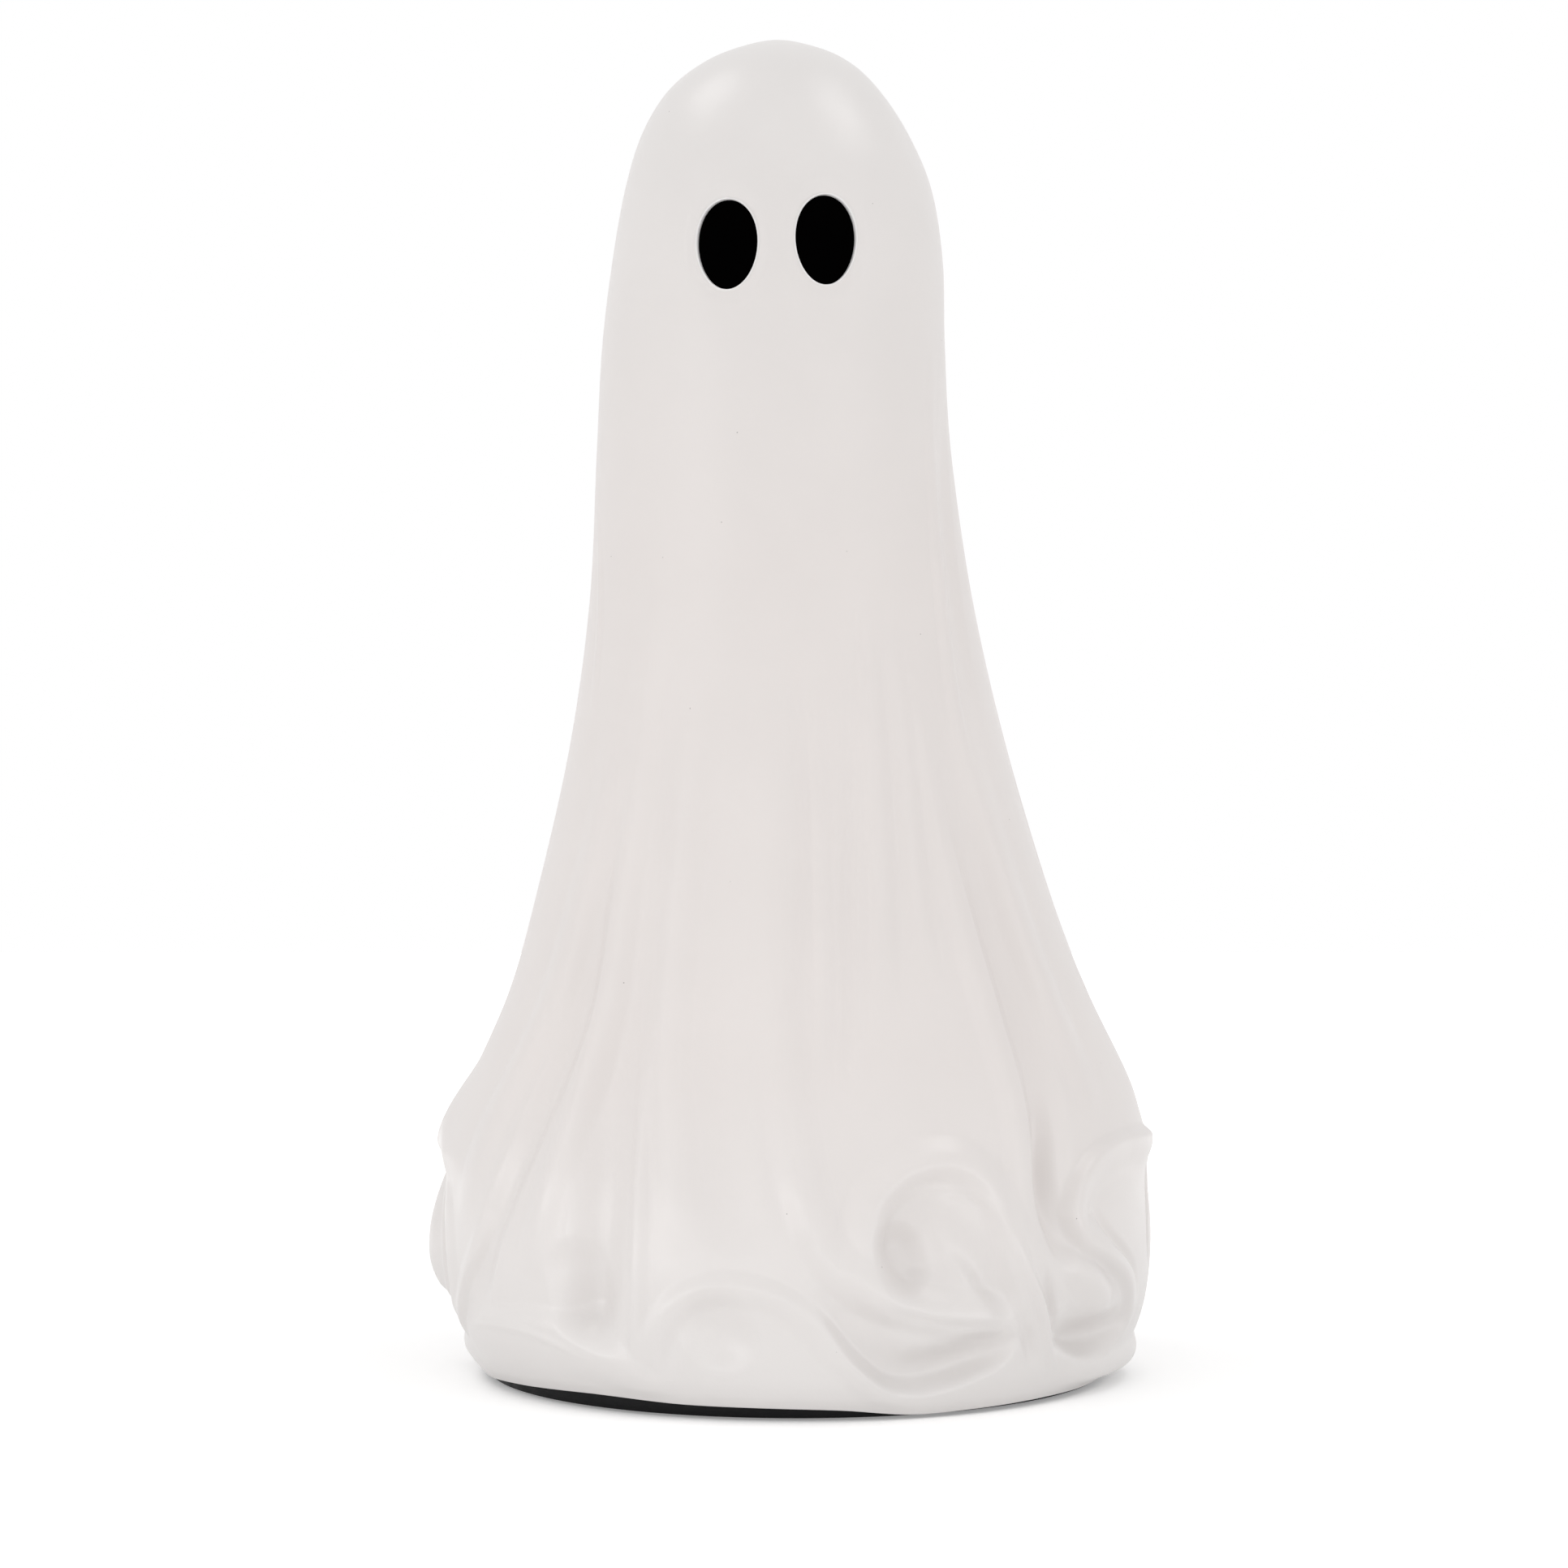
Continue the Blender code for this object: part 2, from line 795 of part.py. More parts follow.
def fold_lift(fold, bearing, height):
    """How far one fold lifts the sheet at each bearing and height."""
    path = through(fold.path, PATH_STEPS)
    middle = 0.5 * (path[:, 0].min() + path[:, 0].max())
    reach = max(fold.left, fold.right) * MM
    across = np.radians(turn_from(bearing, middle)) * section_at(height)[0]
    path_height = path[:, 1] * MM
    path_across = np.radians(path[:, 0] - middle) * section_at(path_height)[0]
    near = (
        (across > path_across.min() - reach)
        & (across < path_across.max() + reach)
        & (height > path_height.min() - reach)
        & (height < path_height.max() + reach)
    )
    lift = np.zeros_like(across)
    if not near.any():
        return lift
    at = np.stack([across[near], height[near]], -1)
    line = np.stack([path_across, path_height], -1)
    best = np.full(len(at), np.inf)
    side = np.zeros(len(at))
    rise = np.zeros(len(at))
    for start, end, first, last in zip(line, line[1:], path[:, 2], path[1:, 2]):
        run = end - start
        share = np.clip(((at - start) @ run) / (run @ run), 0.0, 1.0)
        away = at - (start + share[:, None] * run)
        distance = np.hypot(away[:, 0], away[:, 1])
        nearer = distance < best
        best = np.where(nearer, distance, best)
        side = np.where(nearer, run[0] * away[:, 1] - run[1] * away[:, 0], side)
        rise = np.where(nearer, first + share * (last - first), rise)
    width = np.where(side > 0, fold.left, fold.right) * MM
    lift[near] = rise * MM * np.maximum(0.0, 1.0 - (best / width) ** 2) ** 2
    return lift


def eye_lift(bearing, height):
    """The soft dent round each eye opening."""
    side = loft(bearing, height)[..., 0]
    front = np.abs(turn_from(bearing, 0.0)) < TURN / 4
    lift = np.zeros(side.shape)
    for place, middle in EYE_PLACES.values():
        across = (side - place) / EYE_HALF_WIDTH
        up = (height - middle) / EYE_HALF_HEIGHT
        beyond = (np.hypot(across, up) - 1.0) / EYE_DENT_REACH
        lift -= EYE_DENT * (1.0 - smooth_step(beyond)) * front
    return lift


def edge_wave(bearing):
    bearings = [row[0] for row in EDGE_WAVE]
    bearings.append(bearings[0] + TURN)
    waves = [row[1] for row in EDGE_WAVE]
    waves.append(waves[0])
    curve = through(list(zip(bearings, waves)), PATH_STEPS)
    return np.interp(turn_from(bearing, 0.0), curve[:, 0], curve[:, 1])


def sheet(bearing, height):
    """Points of the sheet's outer face."""
    bearing, height = np.broadcast_arrays(np.asarray(bearing, float), np.asarray(height, float))
    lift = eye_lift(bearing, height)
    for fold in FOLDS:
        lift = lift + fold_lift(fold, bearing, height)
    lift = lift * smooth_step((height - HEM_EDGE) / (3 * WALL))
    points = loft(bearing, height) + lift[..., None] * outward(bearing, height)
    points[..., 2] += edge_wave(bearing) * (1.0 - smooth_step((height - HEM_EDGE) / HEM_FADE))
    return points


def row_heights():
    """Heights of the sheet's rows, evenly spaced along its side."""
    side = np.hypot(np.diff(PROFILE[:, 0]), np.diff(PROFILE[:, 1]))
    run = np.concatenate([[0.0], np.cumsum(side)])
    count = int(run[-1] / ROW_STEP)
    return np.interp(np.linspace(0.0, run[-1], count + 1)[1:], run, PROFILE[:, 0])


def mesh_of_rings(name, rings, first=None, last=None):
    """A closed mesh through rings of equal length, which end in the points first and last."""
    count = len(rings[0])
    points = [tuple(point) for ring in rings for point in ring]
    faces = []
    for row in range(len(rings) - 1):
        for column in range(count):
            beside = (column + 1) % count
            a = row * count + column
            b = row * count + beside
            faces.append((a, a + count, b + count, b))
    end = (len(rings) - 1) * count
    points.append(tuple(first))
    points.append(tuple(last))
    for column in range(count):
        beside = (column + 1) % count
        faces.append((len(points) - 2, column, beside))
        faces.append((len(points) - 1, end + beside, end + column))
    mesh = bpy.data.meshes.new(name)
    mesh.from_pydata(points, [], faces)
    mesh.update()
    return mesh


def add_object(name, mesh, collection, finish=None, place=(0, 0, 0)):
    made = bpy.data.objects.new(name, mesh)
    made.location = place
    collection.objects.link(made)
    if finish is not None:
        made.data.materials.clear()
        made.data.materials.append(finish)
    return made


def shade(made, angle=35.0):
    made.data.shade_smooth()
    made.data.set_sharp_from_angle(angle=math.radians(angle))


def take(made, collection, name):
    """Moves the object just added into a collection."""
    made.name = name
    for held in list(made.users_collection):
        held.objects.unlink(made)
    collection.objects.link(made)
    return made


def box(name, low, high, collection, finish=None):
    bpy.ops.mesh.primitive_cube_add(size=1.0)
    made = take(bpy.context.object, collection, name)
    for point in made.data.vertices:
        for axis in range(3):
            point.co[axis] = low[axis] if point.co[axis] < 0 else high[axis]
    if finish is not None:
        made.data.materials.append(finish)
    return made


def rod(name, radius, low, high, place, collection, finish=None, steps=ROUND_STEPS):
    """An upright cylinder from one height to another."""
    bpy.ops.mesh.primitive_cylinder_add(
        vertices=steps, radius=radius, depth=high - low, location=(place[0], place[1], (low + high) / 2)
    )
    made = take(bpy.context.object, collection, name)
    made.data.transform(made.matrix_world)
    made.matrix_world.identity()
    if finish is not None:
        made.data.materials.append(finish)
        shade(made)
    return made


def turned(name, profile, place, collection, finish, steps=SMALL_ROUND_STEPS):
    """A round piece on an upright axis: the profile's points are radius and height, from the top down."""
    mesh = bpy.data.meshes.new(name)
    points = [(radius, 0.0, height) for radius, height in profile]
    mesh.from_pydata(points, [(i, i + 1) for i in range(len(points) - 1)], [])
    made = add_object(name, mesh, collection, finish, place)
    screw = made.modifiers.new("Turn", "SCREW")
    screw.axis = "Z"
    screw.steps = steps
    screw.render_steps = steps
    screw.use_merge_vertices = True
    screw.merge_threshold = 0.00001
    screw.use_smooth_shade = True
    return made


def cut(made, cutter, operation="DIFFERENCE"):
    cutter.hide_render = True
    cutter.display_type = "WIRE"
    boolean = made.modifiers.new(cutter.name, "BOOLEAN")
    boolean.operation = operation
    boolean.solver = "EXACT"
    boolean.object = cutter
    return boolean


def around(radius, bearing, centre=(BASE_SHIFT, 0.0)):
    angle = math.radians(bearing)
    return (centre[0] + radius * math.sin(angle), centre[1] - radius * math.cos(angle))


def base_screw_places():
    return [around(BASE_SCREW_CIRCLE, TURN * (k + 0.5) / BASE_SCREW_COUNT) for k in range(BASE_SCREW_COUNT)]


def grid_normals(grid):
    """Unit vectors square to a grid of rows and closed columns, pointing out."""
    across = np.roll(grid, -1, axis=1) - np.roll(grid, 1, axis=1)
    along = np.gradient(grid, axis=0)
    square = np.cross(along, across)
    return square / np.linalg.norm(square, axis=-1, keepdims=True)


def eye_patch(place, width, height, depth, steps=ROUND_STEPS):
    """A ring of points at a depth under the sheet, egg-shaped as seen from the front."""
    side, middle = place
    angle = np.linspace(0.0, 2 * math.pi, steps, endpoint=False)
    egg = 1.0 + EYE_EGG * np.sin(angle)
    heights = middle + height * np.sin(angle)
    half_width, _, shift = section_at(heights)
    bearings = np.degrees(np.arcsin((side + width * egg * np.cos(angle) - shift) / half_width))
    return sheet(bearings, heights) - depth * outward(bearings, heights)


def make_shell(parts, cutters, finish):
    heights = row_heights()
    columns = np.arange(SHEET_COLUMNS) * TURN / SHEET_COLUMNS
    grid = sheet(columns[None, :], heights[:, None])
    inner = grid - WALL * grid_normals(grid)
    inside = inner[heights > FLANGE_TOP + 2 * WALL]
    angle = np.radians(columns)
    wall_radius = BASE_RADIUS + HEM_GAP

    def ring(radius, height):
        return np.stack(
            [BASE_SHIFT + radius * np.sin(angle), -radius * np.cos(angle), height + 0 * angle], -1
        )

    rings = list(grid)
    rings.append(ring(wall_radius, HEM_EDGE + edge_wave(columns)))
    rings.append(ring(wall_radius, FLANGE_BOTTOM))
    rings.append(ring(FLANGE_RADIUS, FLANGE_BOTTOM))
    rings.append(ring(FLANGE_RADIUS, FLANGE_TOP))
    rings.append(ring(wall_radius + WALL, FLANGE_TOP))
    rings.extend(inside[::-1])
    top = loft(0.0, PROFILE[0, 0])
    top[0] = PROFILE[0, 3]
    top[1] = 0.0
    mesh = mesh_of_rings("ghost_shell", rings, top, top - np.array([0.0, 0.0, WALL]))
    shell = add_object("ghost_shell", mesh, parts, finish)
    thin = shell.modifiers.new("Thin", "DECIMATE")
    thin.ratio = SHEET_TRIANGLES / (2 * len(mesh.polygons))
    for name, place in EYE_PLACES.items():
        outer = eye_patch(place, EYE_HALF_WIDTH, EYE_HALF_HEIGHT, -3 * WALL)
        deep = eye_patch(place, EYE_HALF_WIDTH, EYE_HALF_HEIGHT, 3 * WALL)
        hole = mesh_of_rings(f"eye_hole_{name}", [outer, deep], outer.mean(axis=0), deep.mean(axis=0))
        cut(shell, add_object(f"eye_hole_{name}", hole, cutters))
    for number, place in enumerate(base_screw_places(), 1):
        hole = rod(
            f"flange_hole_{number}",
            SCREW_RADIUS + GAP,
            FLANGE_BOTTOM - WALL,
            FLANGE_TOP + WALL,
            place,
            cutters,
            steps=SMALL_ROUND_STEPS,
        )
        cut(shell, hole)
    shade(shell, 50.0)
    return shell


def make_eyes(parts, finish):
    back = WALL + EYE_GAP
    for name, place in EYE_PLACES.items():
        plug = (EYE_HALF_WIDTH - EYE_GAP, EYE_HALF_HEIGHT - EYE_GAP)
        lip = (EYE_HALF_WIDTH + EYE_LIP, EYE_HALF_HEIGHT + EYE_LIP)
        rings = [
            eye_patch(place, plug[0] / 2, plug[1] / 2, EYE_DEPTH),
            eye_patch(place, *plug, EYE_DEPTH),
            eye_patch(place, *plug, back),
            eye_patch(place, *lip, back),
            eye_patch(place, *lip, back + EYE_LIP_THICKNESS),
            eye_patch(place, plug[0] / 2, plug[1] / 2, back + EYE_LIP_THICKNESS),
        ]
        front = eye_patch(place, 0.0, 0.0, EYE_DEPTH, 1)[0]
        rear = eye_patch(place, 0.0, 0.0, back + EYE_LIP_THICKNESS, 1)[0]
        mesh = mesh_of_rings(f"eye_{name}", rings, front, rear)
        shade(add_object(f"eye_{name}", mesh, parts, finish))


def group(made, things, operation, cutters):
    """Joins or cuts several helpers in one go."""
    name = f"{made.name}_{operation.lower()}"
    held = bpy.data.collections.new(name)
    cutters.children.link(held)
    for thing in things:
        thing.hide_render = True
        thing.display_type = "WIRE"
        cutters.objects.unlink(thing)
        held.objects.link(thing)
    boolean = made.modifiers.new(name, "BOOLEAN")
    boolean.operation = operation
    boolean.solver = "EXACT"
    boolean.operand_type = "COLLECTION"
    boolean.collection = held


def screw(name, place, seat, length, radius, head_radius, head_height, points_up, parts, cutters, finish):
    """A screw whose head bears on the seat's height, with a cross in its head."""
    way = 1 if points_up else -1
    profile = [
        (0.0, seat + way * length),
        (radius / 2, seat + way * length),
        (radius, seat + way * (length - radius)),
        (radius, seat),
        (head_radius, seat),
        (head_radius, seat - way * head_height * 0.6),
        (head_radius * 0.8, seat - way * head_height),
        (0.0, seat - way * head_height),
    ]
    if not points_up:
        profile.reverse()
    made = turned(name, profile, (place[0], place[1], 0.0), parts, finish)
    end = seat - way * head_height
    low = min(end, end + way * head_height / 2) - (MM if points_up else 0.0)
    high = max(end, end + way * head_height / 2) + (0.0 if points_up else MM)
    arm = head_radius * 0.55
    half = CROSS_WIDTH / 2
    x, y = place
    first = box(f"{name}_slot_a", (x - arm, y - half, low), (x + arm, y + half, high), cutters)
    second = box(f"{name}_slot_b", (x - half, y - arm, low), (x + half, y + arm, high), cutters)
    group(made, [first, second], "DIFFERENCE", cutters)
    return made


def small_screw(name, place, seat, length, parts, cutters, finish):
    sizes = (SMALL_SCREW_RADIUS, SMALL_HEAD_RADIUS, SMALL_HEAD_HEIGHT)
    return screw(name, place, seat, length, *sizes, False, parts, cutters, finish)


def switch_screw_places():
    reach = SLOT_LENGTH / 2 + SWITCH_WALL + BOSS_RADIUS + 2 * GAP
    return [(SWITCH_PLACE[0] + side * reach, SWITCH_PLACE[1]) for side in (-1, 1)]


def box_screw_places():
    reach = BOX_HALF_LENGTH + BOX_WALL + BOSS_RADIUS + 2 * GAP
    return [(BASE_SHIFT + side * reach, BOX_PLACE_Y) for side in (-1, 1)]


def board_screw_places():
    centre = (BASE_SHIFT, BOARD_PLACE_Y)
    return [around(BOARD_SCREW_CIRCLE, bearing, centre) for bearing in (0, 120, 240)]


def make_base(parts, cutters, finish):
    middle = (BASE_SHIFT, 0.0)
    base = rod("base_plate", BASE_RADIUS, BASE_BOTTOM, BASE_TOP, middle, parts, finish, steps=DISC_STEPS)
    tray = rod("tray", BASE_RADIUS - BASE_RIM, FLOOR_TOP, BASE_TOP + MM, middle, cutters, steps=DISC_STEPS)
    cut(base, tray)
    root = FLOOR_TOP - BASE_FLOOR / 5
    adds = []
    for number, place in enumerate(base_screw_places(), 1):
        adds.append(
            rod(f"post_{number}", POST_RADIUS, root, BASE_TOP, place, cutters, steps=SMALL_ROUND_STEPS)
        )
    for number, place in enumerate(box_screw_places() + switch_screw_places(), 1):
        adds.append(
            rod(f"boss_{number}", BOSS_RADIUS, root, BOSS_TOP, place, cutters, steps=SMALL_ROUND_STEPS)
        )
    post_top = FLOOR_TOP + BOARD_POST_HEIGHT
    for number, place in enumerate(board_screw_places(), 1):
        name = f"board_post_{number}"
        adds.append(rod(name, BOSS_RADIUS, root, post_top, place, cutters, steps=SMALL_ROUND_STEPS))
    group(base, adds, "UNION", cutters)
    cuts = []
    for number, place in enumerate(base_screw_places(), 1):
        name = f"post_hole_{number}"
        bore = SCREW_RADIUS + GAP
        cuts.append(rod(name, bore, FLOOR_TOP, BASE_TOP + MM, place, cutters, steps=SMALL_ROUND_STEPS))
        bore = SCREW_HEAD_RADIUS + GAP
        cuts.append(
            rod(f"head_hole_{number}", bore, 0.0, HEAD_SEAT + GAP, place, cutters, steps=SMALL_ROUND_STEPS)
        )
    pilots = [(place, BOSS_TOP) for place in box_screw_places() + switch_screw_places()]
    pilots += [(place, post_top) for place in board_screw_places()]
    for number, (place, top) in enumerate(pilots, 1):
        bore = SMALL_SCREW_RADIUS + GAP
        low = top - PILOT_DEPTH
        cuts.append(rod(f"pilot_{number}", bore, low, top + MM, place, cutters, steps=SMALL_ROUND_STEPS))
    for bearing in FOOT_BEARINGS:
        place = around(FOOT_CIRCLE, bearing)
        high = FOOT_THICKNESS + GAP
        cuts.append(rod(f"foot_seat_{bearing:.0f}", FOOT_RADIUS + GAP, 0.0, high, place, cutters))
    reach_x = DOOR_HALF_LENGTH + MOVING_GAP
    reach_y = DOOR_HALF_WIDTH + MOVING_GAP
    low = (BASE_SHIFT - reach_x, BOX_PLACE_Y - reach_y, 0.0)
    high = (BASE_SHIFT + reach_x, BOX_PLACE_Y + reach_y, FLOOR_TOP + MM)
    cuts.append(box("door_opening", low, high, cutters))
    x, y = SWITCH_PLACE
    low = (x - SLOT_LENGTH / 2, y - SLOT_WIDTH / 2, 0.0)
    high = (x + SLOT_LENGTH / 2, y + SLOT_WIDTH / 2, FLOOR_TOP + MM)
    cuts.append(box("knob_slot", low, high, cutters))
    group(base, cuts, "DIFFERENCE", cutters)
    shade(base)


def make_feet(parts, finish):
    for number, bearing in enumerate(FOOT_BEARINGS, 1):
        place = around(FOOT_CIRCLE, bearing)
        foot = rod(f"foot_{number}", FOOT_RADIUS, 0.0, FOOT_THICKNESS, place, parts, finish)
        shade(foot)


def make_base_screws(parts, cutters, finish):
    length = FLANGE_TOP + SCREW_PROUD - HEAD_SEAT
    for number, place in enumerate(base_screw_places(), 1):
        sizes = (SCREW_RADIUS, SCREW_HEAD_RADIUS, SCREW_HEAD_HEIGHT)
        screw(f"base_screw_{number}", place, HEAD_SEAT, length, *sizes, True, parts, cutters, finish)


def make_battery_box(parts, cutters, finish):
    outer_x = BOX_HALF_LENGTH + BOX_WALL
    outer_y = BOX_HALF_WIDTH + BOX_WALL
    x, y = BASE_SHIFT, BOX_PLACE_Y
    top = BOX_CEILING + BOX_WALL
    low = (x - outer_x, y - outer_y, BOX_BOTTOM)
    made = box("battery_box", low, (x + outer_x, y + outer_y, top), parts, finish)
    adds = []
    for number, place in enumerate(box_screw_places(), 1):
        side = 1 if place[0] > x else -1
        near = x + side * (outer_x - BOX_WALL / 2)
        far = x + side * (outer_x + EAR_LENGTH)
        low = (min(near, far), y - BOSS_RADIUS - MM, EAR_BOTTOM)
        high = (max(near, far), y + BOSS_RADIUS + MM, EAR_TOP)
        adds.append(box(f"box_ear_{number}", low, high, cutters))
    group(made, adds, "UNION", cutters)
    cuts = []
    low = (x - BOX_HALF_LENGTH, y - BOX_HALF_WIDTH, 0.0)
    high = (x + BOX_HALF_LENGTH, y + BOX_HALF_WIDTH, BOX_CEILING)
    cuts.append(box("box_room", low, high, cutters))
    for number, place in enumerate(box_screw_places(), 1):
        name = f"box_hole_{number}"
        bore = SMALL_SCREW_RADIUS + GAP
        cuts.append(rod(name, bore, EAR_BOTTOM - MM, EAR_TOP + MM, place, cutters, steps=SMALL_ROUND_STEPS))
    sweep = math.hypot(TONGUE_REACH, DOOR_THICKNESS + FLOOR_TOP - DOOR_TOP + TONGUE_THICKNESS)
    for number, side in enumerate((-1, 1), 1):
        middle = x + side * TONGUE_OFFSET
        half = TONGUE_WIDTH / 2 + MOVING_GAP
        low = (middle - half, y - outer_y - MM, 0.0)
        high = (middle + half, y - outer_y + BOX_WALL + MM, BASE_BOTTOM + sweep + 2 * MOVING_GAP)
        cuts.append(box(f"tongue_notch_{number}", low, high, cutters))
    half = LATCH_WIDTH / 2 + MOVING_GAP
    low = (x - half, LATCH_Y - LATCH_THICKNESS - MOVING_GAP, 0.0)
    high = (x + half, y + outer_y + MM, DOOR_TOP + LATCH_HEIGHT + MOVING_GAP)
    cuts.append(box("latch_notch", low, high, cutters))
    lead_ends = ((x + outer_x, y + CELL_PITCH), (x - outer_x, y - CELL_PITCH))
    for number, (lead_x, lead_y) in enumerate(lead_ends, 1):
        half = LEAD_RADIUS + 2 * GAP
        low = (lead_x - 2 * BOX_WALL, lead_y - half, CELL_HEIGHT - half)
        high = (lead_x + 2 * BOX_WALL, lead_y + half, CELL_HEIGHT + half)
        cuts.append(box(f"lead_hole_{number}", low, high, cutters))
    group(made, cuts, "DIFFERENCE", cutters)


def make_battery_door(parts, cutters, finish):
    """The door turns about its front lower edge on two tongues that lie on the base's floor."""
    hinge = bpy.data.objects.new("door_hinge", None)
    hinge.location = (BASE_SHIFT, HINGE_Y, BASE_BOTTOM)
    parts.objects.link(hinge)
    high = (DOOR_HALF_LENGTH, 2 * DOOR_HALF_WIDTH, DOOR_THICKNESS)
    door = box("battery_door", (-DOOR_HALF_LENGTH, 0.0, 0.0), high, parts, finish)
    door.parent = hinge
    lip = FLOOR_TOP + GAP - BASE_BOTTOM
    adds = []
    for number, side in enumerate((-1, 1), 1):
        middle = side * TONGUE_OFFSET
        half = TONGUE_WIDTH / 2
        low = (middle - half, 0.0, DOOR_THICKNESS / 2)
        high = (middle + half, DOOR_LEDGE / 2, lip + TONGUE_THICKNESS)
        adds.append(box(f"tongue_root_{number}", low, high, cutters))
        low = (middle - half, -TONGUE_REACH, lip)
        high = (middle + half, DOOR_LEDGE / 4, lip + TONGUE_THICKNESS)
        adds.append(box(f"tongue_{number}", low, high, cutters))
    back = LATCH_Y - HINGE_Y
    low = (-LATCH_WIDTH / 2, back - LATCH_THICKNESS, DOOR_THICKNESS / 2)
    high = (LATCH_WIDTH / 2, back, DOOR_THICKNESS + LATCH_HEIGHT)
    adds.append(box("latch", low, high, cutters))
    for thing in adds:
        thing.parent = hinge
    group(door, adds, "UNION", cutters)


def cell_places():
    first = BOX_PLACE_Y - (CELL_COUNT - 1) / 2 * CELL_PITCH
    return [(first + number * CELL_PITCH, 1 if number % 2 == 0 else -1) for number in range(CELL_COUNT)]


def make_batteries(parts, finish, metal):
    """Cells lie along X and turn about, each with its spring at its flat end."""
    bevel = 0.5 * MM
    shoulder = CELL_LENGTH - CELL_NUB_LENGTH
    profile = [
        (0.0, CELL_LENGTH),
        (CELL_NUB_RADIUS, CELL_LENGTH),
        (CELL_NUB_RADIUS, shoulder),
        (CELL_RADIUS - bevel, shoulder),
        (CELL_RADIUS, shoulder - bevel),
        (CELL_RADIUS, bevel),
        (CELL_RADIUS - bevel, 0.0),
        (0.0, 0.0),
    ]
    inner = BOX_HALF_LENGTH - CONTACT_GAP
    for number, (y, way) in enumerate(cell_places(), 1):
        flat_end = (BASE_SHIFT - way * (inner - SPRING_LENGTH), y, CELL_HEIGHT)
        cell = turned(f"battery_{number}", profile, flat_end, parts, finish, steps=ROUND_STEPS)
        cell.rotation_euler = (0.0, way * math.pi / 2, 0.0)
        make_spring(number, y, way, inner, parts, metal)


def make_spring(number, y, way, inner, parts, finish):
    start = -way * (inner - GAP - SPRING_WIRE)
    end = -way * (inner - SPRING_LENGTH + GAP + SPRING_WIRE)
    count = SPRING_TURNS * SPRING_STEPS
    points = []
    for k in range(count + 1):
        share = k / count
        angle = 2 * math.pi * SPRING_TURNS * share
        radius = SPRING_WIDE + (SPRING_NARROW - SPRING_WIDE) * share
        x = BASE_SHIFT + start + (end - start) * share
        points.append((x, y + radius * math.cos(angle), CELL_HEIGHT + radius * math.sin(angle)))
    wire_object(f"battery_spring_{number}", points, SPRING_WIRE, 1, parts, finish)


def wire_object(name, points, radius, resolution, parts, finish):
    curve = bpy.data.curves.new(name, "CURVE")
    curve.dimensions = "3D"
    curve.bevel_depth = radius
    curve.bevel_resolution = resolution
    curve.use_fill_caps = True
    line = curve.splines.new("POLY")
    line.points.add(len(points) - 1)
    for point, place in zip(line.points, points):
        point.co = (*place, 1.0)
    made = bpy.data.objects.new(name, curve)
    parts.objects.link(made)
    made.data.materials.append(finish)
    return made


def make_contacts(parts, finish):
    """Plates at both ends of the cells: the middle cell shares a plate with one neighbour at each end."""
    half = CELL_RADIUS - CONTACT_INSET
    front, middle, rear = [y for y, way in cell_places()]
    ends = {
        "left": (-1, [(front, front), (middle, rear)]),
        "right": (1, [(front, middle), (rear, rear)]),
    }
    for side, (way, spans) in ends.items():
        near = BASE_SHIFT + way * (BOX_HALF_LENGTH - GAP)
        far = near - way * CONTACT_THICKNESS
        for number, (first, last) in enumerate(spans, 1):
            low = (min(near, far), first - half, CELL_HEIGHT - half)
            high = (max(near, far), last + half, CELL_HEIGHT + half)
            box(f"contact_{side}_{number}", low, high, parts, finish)


def make_switch(parts, cutters, finish, knob_finish):
    x, y = SWITCH_PLACE
    half_x = SLOT_LENGTH / 2 + SWITCH_WALL
    half_y = KNOB_WIDTH / 2 + KNOB_SHOULDER + MOVING_GAP + SWITCH_WALL
    low_z = FLOOR_TOP + GAP
    top = low_z + SWITCH_HEIGHT
    made = box("switch_body", (x - half_x, y - half_y, low_z), (x + half_x, y + half_y, top), parts, finish)
    adds = []
    for number, place in enumerate(switch_screw_places(), 1):
        side = 1 if place[0] > x else -1
        near = x + side * (half_x - SWITCH_WALL / 2)
        far = place[0] + side * BOSS_RADIUS
        low = (min(near, far), y - BOSS_RADIUS, EAR_BOTTOM)
        high = (max(near, far), y + BOSS_RADIUS, EAR_TOP)
        adds.append(box(f"switch_ear_{number}", low, high, cutters))
    group(made, adds, "UNION", cutters)
    cuts = []
    low = (x - SLOT_LENGTH / 2, y - half_y + SWITCH_WALL, 0.0)
    high = (x + SLOT_LENGTH / 2, y + half_y - SWITCH_WALL, FLOOR_TOP + KNOB_RISE + MOVING_GAP)
    cuts.append(box("switch_room", low, high, cutters))
    for number, place in enumerate(switch_screw_places(), 1):
        name = f"switch_hole_{number}"
        bore = SMALL_SCREW_RADIUS + GAP
        cuts.append(rod(name, bore, EAR_BOTTOM - MM, EAR_TOP + MM, place, cutters, steps=SMALL_ROUND_STEPS))
    group(made, cuts, "DIFFERENCE", cutters)
    slide = bpy.data.objects.new("knob_slide", None)
    slide.location = (x - KNOB_TRAVEL / 2, y, BASE_BOTTOM)
    parts.objects.link(slide)
    half_x = KNOB_LENGTH / 2
    half_y = KNOB_WIDTH / 2
    top = FLOOR_TOP + KNOB_RISE - BASE_BOTTOM
    knob = box("switch_knob", (-half_x, -half_y, -KNOB_PROUD), (half_x, half_y, top), parts, knob_finish)
    knob.parent = slide
    bottom = FLOOR_TOP + MOVING_GAP - BASE_BOTTOM
    half_y += KNOB_SHOULDER
    low = (-half_x, -half_y, bottom)
    high = (half_x, half_y, bottom + KNOB_SHOULDER_HEIGHT)
    shoulder = box("knob_shoulder", low, high, cutters)
    shoulder.parent = slide
    group(knob, [shoulder], "UNION", cutters)


